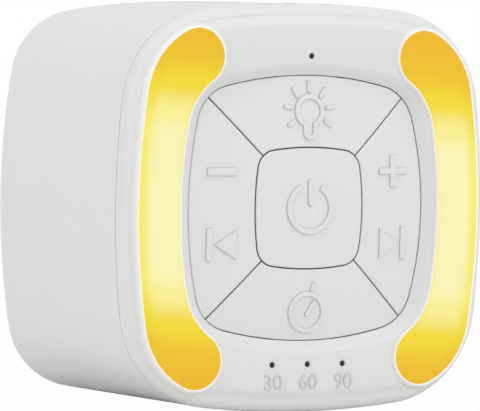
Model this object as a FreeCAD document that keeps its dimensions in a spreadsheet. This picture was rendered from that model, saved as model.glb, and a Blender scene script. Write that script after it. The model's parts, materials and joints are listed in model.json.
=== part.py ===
import FreeCAD, Part
import math
import os
import Sketcher

# White noise sound machine: a rounded square box with five push keys between two light windows.
# Millimetres. The front faces -Y, X is to the right seen from the front, Z is up.
# Every piece is drawn about the centre of the front face, so its own x is across, its own y is
# the depth behind the front plane and its own z is the height above the middle.

# Driving sizes: name, value, what it is.
SIZES = [
    ("body_size", 89.0, "width and height of the box"),
    ("body_depth", 69.2, "front plane to back"),
    ("side_radius", 135.0, "bulge of the four sides"),
    ("corner_radius", 15.0, "corners of the box seen from the front"),
    ("front_round", 4.5, "rounding of the front edge"),
    ("back_round", 9.0, "rounding of the back edge"),
    ("wall", 1.8, "rear housing wall"),
    ("front_wall", 2.2, "front housing face thickness"),
    ("seam_depth", 5.4, "parting line behind the front plane"),
    ("lip_thickness", 0.9, "locating lip inside the seam"),
    ("lip_length", 2.6, "reach of the lip behind the seam"),
    ("fit_gap", 0.1, "gap round a fixed insert"),
    ("stand_height", 0.1, "feet below the lowest line of the box"),
    ("key_field_size", 57.2, "width and height of the key field"),
    ("key_side_radius", 80.0, "bulge of the key field's sides"),
    ("key_corner_radius", 9.5, "corners of the key field"),
    ("key_gap", 0.25, "dark line between keys"),
    ("bevel_width", 2.4, "dished ring round the key field"),
    ("bevel_depth", 1.8, "depth of that ring at the seam"),
    ("power_size", 25.9, "width and height of the centre key"),
    ("power_side_radius", 60.0, "bulge of the centre key's sides"),
    ("power_corner_radius", 4.2, "corners of the centre key"),
    ("dome_radius", 230.0, "crown of the key field"),
    ("key_back", 3.6, "depth of the back of the outer keys"),
    ("key_edge_round", 0.3, "softened key edges"),
    ("symbol_height", 0.3, "raised symbols above the keys"),
    ("key_travel", 0.8, "how far a key goes in"),
    ("flange_width", 1.1, "key flange behind the front face"),
    ("flange_thickness", 1.0, "key flange thickness"),
    ("power_flange_depth", 4.8, "front of the centre key's flange"),
    ("frame_depth", 6.8, "front of the key frame"),
    ("frame_thickness", 1.2, "key frame plate"),
    ("frame_tab_width", 28.8, "width of the key frame's two tabs"),
    ("frame_screw_x", 12.4, "key frame screws, across"),
    ("frame_screw_drop", 11.1, "key frame screws from the top and the bottom of the box"),
    ("pivot_depth", 5.6, "rocker pins behind the front plane"),
    ("rocker_push_z", 9.5, "pressed places of a rocker, up and down"),
    ("pin_radius", 0.75, "rocker pin"),
    ("pin_play", 0.05, "running gap of a rocker pin"),
    ("lug_width", 3.0, "rocker lug across"),
    ("ear_width", 1.2, "key frame ear across"),
    ("ear_gap", 0.2, "gap between a lug and an ear"),
    ("plunger_radius", 2.2, "key plungers"),
    ("mat_thickness", 0.7, "silicone mat sheet"),
    ("mat_inset", 0.5, "edge of the mat inside the key field's outline"),
    ("dome_height", 0.75, "mat domes in front of the sheet"),
    ("mat_dome_radius", 3.0, "mat domes"),
    ("board_depth", 13.0, "front of the main board"),
    ("board_thickness", 1.6, "main board"),
    ("board_inset", 2.6, "edge of the main board inside the key field's sides"),
    ("board_tab_width", 27.0, "main board tabs across"),
    ("board_margin", 2.4, "main board tabs beyond the timer indicators"),
    ("board_screw_inset", 7.6, "main board screws inside the key field's sides"),
    ("switch_width", 6.0, "tact switch"),
    ("switch_height", 3.1, "tact switch without its stem"),
    ("stem_radius", 1.6, "tact switch stem"),
    ("stem_height", 0.6, "tact switch stem"),
    ("hole_radius", 0.65, "indicator holes"),
    ("top_hole_drop", 11.8, "upper indicator hole below the top of the box"),
    ("timer_hole_rise", 10.9, "timer indicator holes above the lowest line of the box"),
    ("timer_hole_pitch", 8.6, "timer indicator holes apart"),
    ("pipe_radius", 1.0, "light pipe behind the front face"),
    ("pipe_recess", 0.5, "tip of a light pipe behind the front plane"),
    ("window_margin", 3.15, "windows from the sides of the box"),
    ("window_gap", 2.75, "windows from the key field"),
    ("cap_angle", 86.0, "direction in which a window's end closes, degrees"),
    ("lens_proud", 0.8, "lens crown in front of the front plane"),
    ("lens_round", 1.0, "rounded border of a lens"),
    ("box_wall", 0.8, "light box wall"),
    ("box_lap", 0.5, "light box wall behind the lens edge"),
    ("box_depth", 8.1, "light box front to back"),
    ("strip_thickness", 1.0, "light board"),
    ("light_led_height", 1.5, "white LED"),
    ("post_x", 17.5, "housing screws, across"),
    ("post_rise", 9.7, "housing screws above the lowest line of the box"),
    ("post_radius", 2.75, "front housing posts"),
    ("post_end", 26.0, "back of the posts"),
    ("screw_radius", 1.0, "all screw threads"),
    ("thread_gap", 0.02, "screw in its pilot hole"),
    ("head_radius", 2.1, "all screw heads"),
    ("head_height", 1.2, "all screw heads"),
    ("hook_x", 11.0, "snap hooks, across"),
    ("hook_width", 6.0, "snap hook"),
    ("speaker_back", 5.9, "speaker in front of the back wall"),
    ("speaker_drop", 6.5, "underside of the speaker flange below the top of the box"),
    ("speaker_size", 44.0, "square speaker flange"),
    ("speaker_screw_inset", 3.5, "speaker screws from its edges"),
    ("cone_margin", 2.5, "speaker cone inside the flange"),
    ("magnet_radius", 13.0, "speaker magnet"),
    ("magnet_height", 6.5, "speaker magnet"),
    ("basket_height", 11.0, "speaker basket below the flange"),
    ("flange_sheet", 1.0, "speaker flange sheet"),
    ("slot_width", 1.8, "grille slots"),
    ("slot_length", 30.0, "grille slots front to back"),
    ("slot_pitch", 3.6, "grille slots apart"),
    ("grille_shift", 4.9, "middle of the grille in front of the speaker's"),
    ("cell_radius", 7.1, "AA cell"),
    ("cell_length", 49.2, "AA cell without its button"),
    ("cell_pitch", 15.1, "cells apart"),
    ("button_radius", 2.75, "cell button"),
    ("button_length", 1.2, "cell button"),
    ("cell_play", 0.3, "room round a cell"),
    ("bay_width", 55.0, "inside of the battery bay across"),
    ("bay_wall", 1.6, "battery bay wall"),
    ("bay_z", -6.0, "middle of the battery bay"),
    ("ledge", 1.2, "door seat round the bay"),
    ("door_gap", 0.2, "gap round the battery door"),
    ("tongue_radius", 4.0, "door tongues round the screws"),
    ("tongue_reach", 2.4, "door screws beyond the bay"),
    ("contact_sheet", 0.4, "battery contact metal"),
    ("foot_width", 15.0, "foot pad across"),
    ("foot_length", 12.0, "foot pad front to back"),
    ("foot_first", 12.0, "front edge of the first foot pad"),
    ("foot_back", 11.2, "last foot pad in front of the back"),
    ("foot_seat", 0.6, "depth of a foot pad's seat in the box"),
    ("lead_radius", 0.6, "inner wires"),
    ("boss_radius", 2.0, "bosses round small screws"),
    ("frame_screw_length", 3.9, "frame screw in its boss"),
    ("board_screw_length", 4.2, "board screw in its post"),
    ("housing_screw_length", 14.0, "housing screw in its post"),
    ("door_screw_length", 8.0, "door screw in its boss"),
    ("speaker_screw_length", 2.4, "speaker screw in its post"),
    ("screw_room", 0.3, "room round a screw that passes through"),
    ("head_room", 0.2, "room round a screw head"),
    ("post_seat_wall", 4.0, "rear housing between a post and a housing screw's head"),
    ("door_boss_radius", 3.6, "bosses round the door screws"),
    ("speaker_post_radius", 2.5, "speaker posts"),
    ("speaker_post_top", 2.5, "top of a speaker post below the crown of the box"),
    ("hook_thickness", 0.9, "snap hook arm"),
    ("barb_height", 0.9, "snap hook barb"),
    ("barb_length", 1.4, "snap hook barb front to back"),
    ("hook_reach", 4.2, "snap hook behind the lip"),
    ("notch_x", 4.1, "opening notches at the top of the seam, across"),
    ("notch_width", 2.2, "opening notch"),
    ("notch_length", 3.2, "opening notch in front of the seam"),
    ("notch_depth", 0.9, "opening notch below the crown of the box"),
    ("flange_root", 3.0, "depth of a key flange's plate, edge to root"),
    ("flange_span", 14.0, "length of a key flange"),
    ("lug_height", 3.6, "rocker lug up and down"),
    ("frame_margin", 3.6, "key frame tabs beyond their screws"),
    ("indicator_height", 0.8, "indicator LED"),
    ("light_led_inset", 15.0, "outermost white LEDs from the top and the bottom of the box"),
    ("light_led_width", 2.8, "white LED across"),
    ("light_led_tall", 3.5, "white LED up and down"),
    ("coil_radius", 7.0, "voice coil end of the cone"),
    ("cone_height", 7.0, "speaker cone"),
    ("cone_sheet", 0.5, "speaker cone paper"),
    ("bow_width", 6.0, "sprung contact bow"),
    ("bow_radius", 5.0, "sprung contact bow"),
    ("bow_reach", 3.6, "bow from the bay wall to the cell"),
    ("rib_inset", 1.0, "door rib from the bay wall"),
    ("rib_thickness", 1.2, "door rib"),
    ("rib_height", 1.5, "door rib"),
    ("grip_z", -3.0, "first grip line on the door"),
    ("grip_pitch", 2.0, "grip lines apart"),
    ("grip_width", 16.0, "grip lines across"),
    ("grip_cut", 0.4, "depth of a grip line"),
    ("slot_depth", 4.4, "grille slots are cut this far below the crown"),
    ("socket_x", 12.0, "lead sockets on the main board, across"),
    ("socket_z", 14.0, "lead sockets above the middle"),
    ("socket_height", 4.5, "lead sockets behind the board"),
    ("terminal_width", 6.0, "speaker terminal block across"),
    ("terminal_rise", 2.6, "speaker terminal block above the foot of the basket"),
    ("terminal_height", 1.6, "speaker terminal block"),
    ("terminal_reach", 3.1, "speaker terminal block front to back"),
    ("lead_spacing", 0.7, "half the offset of a lead from its neighbour"),
]

# Sizes worked out from the driving ones.
WORKED_OUT = [
    ("body_half", "body_size / 2"),
    ("front_y", "lens_proud - (body_depth + lens_proud) / 2"),
    ("middle_z", "body_half + stand_height"),
    ("lip_grown", "-wall - fit_gap"),
    ("hollow_grown", "lip_grown - lip_thickness"),
    ("hollow_half", "body_half + hollow_grown"),
    ("key_half", "key_field_size / 2"),
    ("key_hole_grown", "key_gap / 2"),
    ("bevel_grown", "key_hole_grown + bevel_width"),
    ("power_half", "power_size / 2"),
    ("rocker_x", "(power_half + key_half) / 2"),
    ("light_key_z", "rocker_x"),
    ("top_hole_z", "body_half - top_hole_drop"),
    ("timer_hole_z", "body_half - timer_hole_rise"),
    ("post_z", "body_half - post_rise"),
    ("post_seat", "post_end + post_seat_wall"),
    ("frame_screw_z", "body_half - frame_screw_drop"),
    ("frame_reach", "frame_screw_z + frame_margin"),
    ("board_size", "key_field_size - 2 * board_inset"),
    ("board_reach", "timer_hole_z + board_margin"),
    ("board_screw_x", "key_half - board_screw_inset"),
    ("power_flange_grown", "flange_width"),
    ("frame_grown", "flange_width / 2"),
    ("mat_grown", "-mat_inset"),
    ("flange_front", "key_back - flange_thickness"),
    ("mat_front", "frame_depth + frame_thickness + 0.05"),
    ("mat_dome_front", "mat_front - dome_height"),
    ("plunger_end", "mat_dome_front - key_travel - 0.1"),
    ("rocker_plunger_end", "mat_dome_front - 0.55"),
    ("switch_front", "board_depth - switch_height"),
    ("stem_front", "switch_front - stem_height"),
    ("board_back", "board_depth + board_thickness"),
    ("socket_back", "board_back + socket_height"),
    ("opening_outer", "body_half - window_margin"),
    ("opening_inner", "key_half + window_gap"),
    ("box_outer", "opening_outer + 0.15"),
    ("box_inner", "opening_inner + box_lap - box_wall - 0.6"),
    ("box_front", "front_wall + fit_gap"),
    ("box_back", "box_front + box_depth"),
    ("strip_front", "box_back - strip_thickness"),
    ("bay_height", "2 * cell_pitch + 2 * cell_radius + 4 * cell_play"),
    ("door_inner", "body_depth - wall"),
    ("speaker_z", "body_half - speaker_drop"),
    ("speaker_depth", "door_inner - speaker_back - speaker_size / 2"),
    ("speaker_screw", "speaker_size / 2 - speaker_screw_inset"),
    ("cone_radius", "speaker_size / 2 - cone_margin"),
    ("slot_start", "speaker_depth - grille_shift - slot_length / 2"),
    ("foot_last", "body_depth - foot_back - foot_length"),
    ("cell_depth", "door_inner - cell_play - cell_radius"),
    ("bay_floor", "cell_depth - cell_radius - cell_play"),
    ("door_width", "bay_width + 2 * ledge"),
    ("door_height", "bay_height + 2 * ledge"),
    ("door_screw_up", "bay_z + bay_height / 2 + tongue_reach"),
    ("door_screw_down", "bay_z - bay_height / 2 - tongue_reach"),
    ("pilot_radius", "screw_radius + thread_gap"),
    ("screw_room_radius", "screw_radius + screw_room"),
    ("head_room_radius", "head_radius + head_room"),
    ("tongue_room_radius", "tongue_radius + door_gap"),
    ("speaker_top", "speaker_z + flange_sheet"),
    ("terminal_z", "speaker_z - basket_height + terminal_rise"),
    ("terminal_back", "speaker_depth - magnet_radius - 0.9"),
    ("hook_level", "hollow_half - hook_thickness"),
    ("hook_root", "seam_depth + lip_length / 2"),
    ("hook_end", "seam_depth + lip_length + hook_reach"),
    ("foot_thickness", "stand_height + foot_seat"),
    ("ear_offset", "lug_width / 2 + ear_gap + ear_width / 2"),
    ("pin_length", "lug_width + 2 * ear_gap + 2 * ear_width"),
    ("dome_hole_radius", "mat_dome_radius + screw_room"),
    ("pipe_room_radius", "pipe_radius + screw_room"),
    ("post_room_radius", "boss_radius + screw_room"),
]

document = FreeCAD.newDocument("SoundMachine")
sheet = document.addObject("Spreadsheet::Sheet", "Sizes")
for row, (name, value, meaning) in enumerate(SIZES, 1):
    sheet.set(f"A{row}", name)
    sheet.set(f"B{row}", str(value))
    sheet.set(f"C{row}", meaning)
    sheet.setAlias(f"B{row}", name)
for row, (name, formula) in enumerate(WORKED_OUT, len(SIZES) + 2):
    sheet.set(f"A{row}", name)
    sheet.set(f"B{row}", "=" + formula)
    sheet.setAlias(f"B{row}", name)
document.recompute()

pieces = []


def size(name):
    return float(sheet.get(name))


def bind(item, field, formula):
    """Tie a property to the sheet; a formula names sizes as Sizes.name."""
    item.setExpression(field, formula)


def place(item):
    """Put a piece drawn about the front face's centre where the machine stands."""
    bind(item, "Placement.Base.y", "Sizes.front_y")
    bind(item, "Placement.Base.z", "Sizes.middle_z")
    return item


def finish(item, label):
    item.Label = label
    pieces.append(place(item))
    return item


# Sketch outlines


def arc(sketch, x, z, radius, start, end):
    circle_of_arc = Part.Circle(FreeCAD.Vector(x, z, 0), FreeCAD.Vector(0, 0, 1), radius)
    return sketch.addGeometry(Part.ArcOfCircle(circle_of_arc, start, end))


def line(sketch, start, end):
    first = FreeCAD.Vector(start[0], start[1], 0)
    return sketch.addGeometry(Part.LineSegment(first, FreeCAD.Vector(end[0], end[1], 0)))


def polygon(sketch, points):
    for start, end in zip(points, points[1:] + points[:1]):
        line(sketch, start, end)


def rectangle(sketch, x, z, width, height):
    left, right = x - width / 2, x + width / 2
    low, high = z - height / 2, z + height / 2
    polygon(sketch, [(left, low), (right, low), (right, high), (left, high)])


def circle(sketch, x, z, radius):
    sketch.addGeometry(Part.Circle(FreeCAD.Vector(x, z, 0), FreeCAD.Vector(0, 0, 1), radius))


def bar(sketch, start, end, width):
    """A short straight stroke of a symbol."""
    length = math.dist(start, end)
    across = ((end[1] - start[1]) / length * width / 2, (start[0] - end[0]) / length * width / 2)
    corners = []
    for point, sign in ((start, 1), (end, 1), (end, -1), (start, -1)):
        corners.append((point[0] + sign * across[0], point[1] + sign * across[1]))
    polygon(sketch, corners)


def corner_centre(half, side_radius, corner_radius):
    """Distance of a corner arc's centre from both axes, so that it runs smoothly into the sides."""
    side_centre = side_radius - half
    reach = (side_radius - corner_radius) ** 2
    return (math.sqrt(8 * reach - 4 * side_centre ** 2) - 2 * side_centre) / 4


OUTLINES = {
    "box": ("body_half", "side_radius", "corner_radius"),
    "keys": ("key_half", "key_side_radius", "key_corner_radius"),
    "power": ("power_half", "power_side_radius", "power_corner_radius"),
}


def rounded_square(sketch, outline, grown=None):
    """Eight tangent arcs round the centre, held by constraints tied to the named sizes.

    grown names the size by which the outline stands outside (or, below zero, inside) the basic one.
    """
    half_name, side_name, corner_name = OUTLINES[outline]
    growth = size(grown) if grown else 0.0
    extra = f" + Sizes.{grown}" if grown else ""
    side, corner = size(side_name) + growth, size(corner_name) + growth
    side_centre = size(side_name) - size(half_name)
    centre = corner_centre(size(half_name), size(side_name), size(corner_name))
    blend = math.atan2(centre, centre + side_centre)
    sides, corners = [], []
    for quarter in range(4):
        turn = quarter * math.pi / 2
        across, up = math.cos(turn), math.sin(turn)
        sides.append(arc(sketch, -side_centre * across, -side_centre * up, side, turn - blend, turn + blend))
        x, z = centre * (across - up), centre * (across + up)
        corners.append(arc(sketch, x, z, corner, turn + blend, turn + math.pi / 2 - blend))
    for quarter in range(4):
        sketch.addConstraint(Sketcher.Constraint("Tangent", sides[quarter], 2, corners[quarter], 1))
        following = sides[(quarter + 1) % 4]
        sketch.addConstraint(Sketcher.Constraint("Tangent", corners[quarter], 2, following, 1))
        sketch.addConstraint(Sketcher.Constraint("PointOnObject", sides[quarter], 3, -1 - quarter % 2))
    for quarter in range(1, 4):
        sketch.addConstraint(Sketcher.Constraint("Equal", sides[0], sides[quarter]))
        sketch.addConstraint(Sketcher.Constraint("Equal", corners[0], corners[quarter]))
    for item, name, radius in ((sides[0], side_name, side), (corners[0], corner_name, corner)):
        rule = sketch.addConstraint(Sketcher.Constraint("Radius", item, radius))
        bind(sketch, f"Constraints[{rule}]", f"Sizes.{name}{extra}")
    origin = (-1, 1)
    for quarter, kind in enumerate(("DistanceX", "DistanceY", "DistanceX", "DistanceY")):
        ends = ((sides[quarter], 3), origin) if quarter < 2 else (origin, (sides[quarter], 3))
        rule = sketch.addConstraint(Sketcher.Constraint(kind, *ends[0], *ends[1], side_centre))
        bind(sketch, f"Constraints[{rule}]", f"Sizes.{side_name} - Sizes.{half_name}")


def window_outline(sketch, outer_half, inner_half, side):
    """A C of eight tangent arcs: its outside follows the box, its inside follows the key field."""
    box_centre = corner_centre(size("body_half"), size("side_radius"), size("corner_radius"))
    key_centre = corner_centre(size("key_half"), size("key_side_radius"), size("key_corner_radius"))
    inset = size("body_half") - outer_half
    grown = inner_half - size("key_half")
    outer_side, outer_corner = size("side_radius") - inset, size("corner_radius") - inset
    inner_side, inner_corner = size("key_side_radius") + grown, size("key_corner_radius") + grown
    outer_blend = math.atan2(box_centre, box_centre + outer_side - outer_half)
    inner_blend = math.atan2(key_centre, key_centre + inner_side - inner_half)
    closing = math.radians(size("cap_angle"))
    apart = box_centre - key_centre
    along = apart * (math.cos(closing) + math.sin(closing))
    cap = (2 * apart ** 2 + 2 * outer_corner * along + outer_corner ** 2 - inner_corner ** 2) / (
        2 * (along + outer_corner + inner_corner))
    cap_x = box_centre + (outer_corner - cap) * math.cos(closing)
    cap_z = box_centre + (outer_corner - cap) * math.sin(closing)
    meeting = math.atan2(cap_z - key_centre, cap_x - key_centre)

    def placed(x, z, radius, start, end):
        if side < 0:
            x, start, end = -x, math.pi - end, math.pi - start
        arc(sketch, x, z, radius, start, end)

    placed(outer_half - outer_side, 0, outer_side, -outer_blend, outer_blend)
    placed(inner_half - inner_side, 0, inner_side, -inner_blend, inner_blend)
    placed(box_centre, box_centre, outer_corner, outer_blend, closing)
    placed(box_centre, -box_centre, outer_corner, -closing, -outer_blend)
    placed(cap_x, cap_z, cap, closing, meeting + math.pi)
    placed(cap_x, -cap_z, cap, math.pi - meeting, 2 * math.pi - closing)
    placed(key_centre, key_centre, inner_corner, inner_blend, meeting)
    placed(key_centre, -key_centre, inner_corner, -meeting, -inner_blend)


def outer_key_outline(sketch, quarter):
    """One outer key: from the centre key out to the seam, between two diagonals."""
    gap = size("key_gap")
    key_centre = corner_centre(size("key_half"), size("key_side_radius"), size("key_corner_radius"))
    hub_centre = corner_centre(size("power_half"), size("power_side_radius"), size("power_corner_radius"))
    far_side, far_corner = size("key_side_radius") - gap / 2, size("key_corner_radius") - gap / 2
    near_side, near_corner = size("power_side_radius") + gap, size("power_corner_radius") + gap
    far_blend = math.atan2(key_centre, key_centre + size("key_side_radius") - size("key_half"))
    near_blend = math.atan2(hub_centre, hub_centre + size("power_side_radius") - size("power_half"))
    turn = quarter * math.pi / 2

    def turned(x, z):
        return (x * math.cos(turn) - z * math.sin(turn), x * math.sin(turn) + z * math.cos(turn))

    def on_spoke(centre, radius):
        """Where the line beside the diagonal meets a corner arc."""
        shift = gap / math.sqrt(2)
        reach = (shift + math.sqrt(2 * radius ** 2 - shift ** 2)) / 2
        return (centre + reach, centre + reach - shift)

    for centre, side, corner, blend, half in (
            (key_centre, far_side, far_corner, far_blend, size("key_half") - gap / 2),
            (hub_centre, near_side, near_corner, near_blend, size("power_half") + gap)):
        arc(sketch, *turned(half - side, 0), side, turn - blend, turn + blend)
        end = on_spoke(centre, corner)
        angle = math.atan2(end[1] - centre, end[0] - centre)
        arc(sketch, *turned(centre, centre), corner, turn + blend, turn + angle)
        arc(sketch, *turned(centre, -centre), corner, turn - angle, turn - blend)
    inner_end, outer_end = on_spoke(hub_centre, near_corner), on_spoke(key_centre, far_corner)
    for sign in (1, -1):
        start, stop = (inner_end[0], sign * inner_end[1]), (outer_end[0], sign * outer_end[1])
        line(sketch, turned(*start), turned(*stop))


# Body features


def origin_plane(body, role):
    for feature in body.Origin.OriginFeatures:
        if feature.Role == role:
            return feature
    raise ValueError("no plane " + role)


def new_body(name):
    return document.addObject("PartDesign::Body", name)


def front_sketch(body, name, depth):
    """A sketch parallel to the front face, at a depth behind it."""
    sketch = body.newObject("Sketcher::SketchObject", name)
    sketch.AttachmentSupport = [(origin_plane(body, "XZ_Plane"), "")]
    sketch.MapMode = "FlatFace"
    bind(sketch, "AttachmentOffset.Base.z", f"-({depth})")
    return sketch


def level_sketch(body, name, height):
    """A sketch parallel to the floor; its own y runs from front to back."""
    sketch = body.newObject("Sketcher::SketchObject", name)
    sketch.AttachmentSupport = [(origin_plane(body, "XY_Plane"), "")]
    sketch.MapMode = "FlatFace"
    bind(sketch, "AttachmentOffset.Base.z", height)
    return sketch


def side_sketch(body, name):
    """A sketch on the middle plane; its own x is the depth and its own y the height."""
    sketch = body.newObject("Sketcher::SketchObject", name)
    sketch.AttachmentSupport = [(origin_plane(body, "YZ_Plane"), "")]
    sketch.MapMode = "FlatFace"
    return sketch


def extrude(body, kind, name, sketch, length, backwards):
    """Pad or pocket along the sketch; backwards means towards larger depth, or upwards."""
    before = body.Tip.Shape.Volume if body.Tip else 0
    feature = body.newObject("PartDesign::" + kind, name)
    feature.Profile = sketch
    flat = sketch.AttachmentSupport[0][0].Role == "XY_Plane"
    along_normal = backwards if flat else not backwards
    feature.Reversed = along_normal if kind == "Pocket" else not along_normal
    bind(feature, "Length", length)
    sketch.Visibility = False
    document.recompute()
    grown = feature.Shape.Volume - before
    if (kind == "Pad") != (grown > 0) or abs(grown) < 1e-6:
        raise ValueError(f"{body.Name} {name} changed the volume by {grown}")
    return feature


def pad(body, name, sketch, length, backwards=True):
    return extrude(body, "Pad", name, sketch, length, backwards)


def pocket(body, name, sketch, length, backwards=True):
    return extrude(body, "Pocket", name, sketch, length, backwards)


def edges_where(feature, test):
    return [f"Edge{index}" for index, edge in enumerate(feature.Shape.Edges, 1) if test(edge)]


def at_depth(depth):
    """True for an edge that lies flat at a depth behind the front plane."""
    def test(edge):
        box = edge.BoundBox
        return abs(box.YMin - depth) < 1e-3 and abs(box.YMax - depth) < 1e-3
    return test


def round_edges(body, name, base, edges, radius):
    feature = body.newObject("PartDesign::Fillet", name)
    feature.Base = (base, edges)
    bind(feature, "Radius", radius)
    document.recompute()
    return feature


def spin(body, kind, name, sketch, axis):
    feature = body.newObject("PartDesign::" + kind, name)
    feature.Profile = sketch
    feature.ReferenceAxis = (sketch, [axis])
    feature.Angle = 360
    document.recompute()
    return feature


def crown_cut(body, name, raised):
    """Cut the front to the key field's shallow dome, raised in front of it by a height."""
    radius = size("dome_radius") + raised
    reach, front = size("key_half") * 1.5, -4 * size("lens_proud")
    drop = radius - math.sqrt(radius ** 2 - reach ** 2)
    sketch = side_sketch(body, name + "_profile")
    top = math.atan2(reach, drop - radius)
    arc(sketch, radius - raised, 0, radius, top, math.pi)
    polygon_points = [(-raised, 0), (front, 0), (front, reach), (drop - raised, reach)]
    for start, end in zip(polygon_points, polygon_points[1:]):
        line(sketch, start, end)
    before = body.Tip.Shape.Volume
    feature = spin(body, "Groove", name, sketch, "H_Axis")
    if feature.Shape.Volume >= before:
        raise ValueError(f"{body.Name} {name} cut nothing")
    return feature


# Plain solids for the electronics


def block(name, middle_x, front, middle_z, width, depth, height):
    item = document.addObject("Part::Box", name)
    bind(item, "Length", width)
    bind(item, "Width", depth)
    bind(item, "Height", height)
    bind(item, "Placement.Base.x", f"{middle_x} - ({width}) / 2")
    bind(item, "Placement.Base.y", front)
    bind(item, "Placement.Base.z", f"{middle_z} - ({height}) / 2")
    return item


def rod(name, x, front, z, radius, length, axis="Y"):
    """A round bar from its front (or left, or lower) end along an axis."""
    item = document.addObject("Part::Cylinder", name)
    bind(item, "Radius", radius)
    bind(item, "Height", length)
    turns = {"X": (FreeCAD.Vector(0, 1, 0), 90), "Y": (FreeCAD.Vector(1, 0, 0), -90)}
    if axis in turns:
        item.Placement.Rotation = FreeCAD.Rotation(*turns[axis])
    bind(item, "Placement.Base.x", x)
    bind(item, "Placement.Base.y", front)
    bind(item, "Placement.Base.z", z)
    return item


def fuse(name, items):
    item = document.addObject("Part::MultiFuse", name)
    item.Shapes = items
    item.Refine = True
    return item


def cut(name, base, tool):
    item = document.addObject("Part::Cut", name)
    item.Base = base
    item.Tool = tool
    return item


def group(label, items):
    """Like pieces that share one node, each still a separate solid."""
    item = document.addObject("Part::Compound", label)
    item.Links = items
    return finish(item, label)


def screws(label, places, head_back, length, axis="Y"):
    """Pan head screws; head_back is the outer face of the heads, the shafts run away from it."""
    items = []
    for number, (x, z) in enumerate(places, 1):
        if axis == "Y":
            head = rod(f"{label}_head_{number}", x, f"{head_back} - Sizes.head_height", z,
                       "Sizes.head_radius", "Sizes.head_height")
            shaft = rod(f"{label}_shaft_{number}", x, f"{head_back} - Sizes.head_height - ({length})", z,
                        "Sizes.screw_radius", f"{length} + Sizes.head_height / 2")
        else:
            head = rod(f"{label}_head_{number}", x, z, head_back,
                       "Sizes.head_radius", "Sizes.head_height", "Z")
            shaft = rod(f"{label}_shaft_{number}", x, z, f"{head_back} + Sizes.head_height / 2",
                        "Sizes.screw_radius", f"{length} + Sizes.head_height / 2", "Z")
        body = fuse(f"{label}_body_{number}", [head, shaft])
        slots = []
        for wide, tall in (("Sizes.head_radius * 1.3", "0.5"), ("0.5", "Sizes.head_radius * 1.3")):
            name = f"{label}_slot_{number}_{len(slots)}"
            if axis == "Y":
                front = f"{head_back} - Sizes.head_height / 2"
                slots.append(block(name, x, front, z, wide, "Sizes.head_height", tall))
            else:
                low = f"{head_back} - Sizes.head_height / 2 + Sizes.head_height / 2"
                front = f"{z} - ({tall}) / 2"
                slots.append(block(name, x, front, low, wide, tall, "Sizes.head_height"))
        items.append(cut(f"{label}_{number}", body, fuse(f"{label}_cross_{number}", slots)))
    return group(label, items)


# Pieces


def make_front_housing():
    body = new_body("front_housing")
    face = front_sketch(body, "face_outline", "0")
    rounded_square(face, "box")
    shell = pad(body, "face", face, "Sizes.seam_depth")
    round_edges(body, "front_edge", shell, edges_where(shell, at_depth(0)), "Sizes.front_round")
    lip = front_sketch(body, "lip_outline", "Sizes.seam_depth")
    rounded_square(lip, "box", "lip_grown")
    pad(body, "lip", lip, "Sizes.lip_length")
    hollow = front_sketch(body, "hollow_outline", "Sizes.seam_depth + Sizes.lip_length")
    rounded_square(hollow, "box", "hollow_grown")
    pocket(body, "hollow", hollow, "Sizes.seam_depth + Sizes.lip_length - Sizes.front_wall", False)

    rim = front_sketch(body, "bevel_rim", "0")
    rounded_square(rim, "keys", "bevel_grown")
    root = front_sketch(body, "bevel_root", "Sizes.bevel_depth")
    rounded_square(root, "keys", "key_hole_grown")
    bevel = body.newObject("PartDesign::SubtractiveLoft", "bevel")
    bevel.Profile = rim
    bevel.Sections = [root]
    bevel.Ruled = True
    document.recompute()
    hole = front_sketch(body, "key_hole_outline", "0")
    rounded_square(hole, "keys", "key_hole_grown")
    pocket(body, "key_hole", hole, "Sizes.front_wall")

    for side, word in ((-1, "left"), (1, "right")):
        window = front_sketch(body, word + "_window_outline", "0")
        window_outline(window, size("opening_outer"), size("opening_inner"), side)
        pocket(body, word + "_window", window, "Sizes.front_wall + Sizes.fit_gap")

    round_cuts(body, "indicator_holes", INDICATORS, "hole_radius", "0", "Sizes.front_wall")
    boss_length = "Sizes.frame_depth - Sizes.front_wall"
    round_pads(body, "frame_bosses", FRAME_SCREWS, "boss_radius", "Sizes.front_wall", boss_length)
    post_length = "Sizes.post_end - Sizes.front_wall"
    round_pads(body, "posts", POSTS, "post_radius", "Sizes.front_wall", post_length)
    round_cuts(body, "frame_pilots", FRAME_SCREWS, "pilot_radius", "Sizes.frame_depth",
               "Sizes.frame_screw_length", False)
    round_cuts(body, "post_pilots", POSTS, "pilot_radius", "Sizes.post_end",
               "Sizes.housing_screw_length", False)

    arms = level_sketch(body, "hook_arm_outline", "Sizes.hook_level")
    barbs = level_sketch(body, "hook_barb_outline", "Sizes.hook_level")
    for side in (-1, 1):
        x = side * size("hook_x")
        middle = (size("hook_root") + size("hook_end")) / 2
        rectangle(arms, x, middle, size("hook_width"), size("hook_end") - size("hook_root"))
        rectangle(barbs, x, size("hook_end") - size("barb_length") / 2, size("hook_width"), size("barb_length"))
    pad(body, "hook_arms", arms, "Sizes.hook_thickness")
    pad(body, "hook_barbs", barbs, "Sizes.hook_thickness + Sizes.barb_height")
    notches = level_sketch(body, "notch_outline", "Sizes.body_half")
    for side in (-1, 1):
        middle = size("seam_depth") - size("notch_length") / 2
        rectangle(notches, side * size("notch_x"), middle, size("notch_width"), size("notch_length"))
    pocket(body, "notches", notches, "Sizes.notch_depth", False)
    finish(body, "front_housing")


def round_pads(body, name, places, radius, depth, length, backwards=True):
    sketch = front_sketch(body, name + "_outline", depth)
    for x, z in places:
        circle(sketch, x, z, size(radius))
    return pad(body, name, sketch, length, backwards)


def round_cuts(body, name, places, radius, depth, length, backwards=True):
    sketch = front_sketch(body, name + "_outline", depth)
    for x, z in places:
        circle(sketch, x, z, size(radius))
    return pocket(body, name, sketch, length, backwards)


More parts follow.
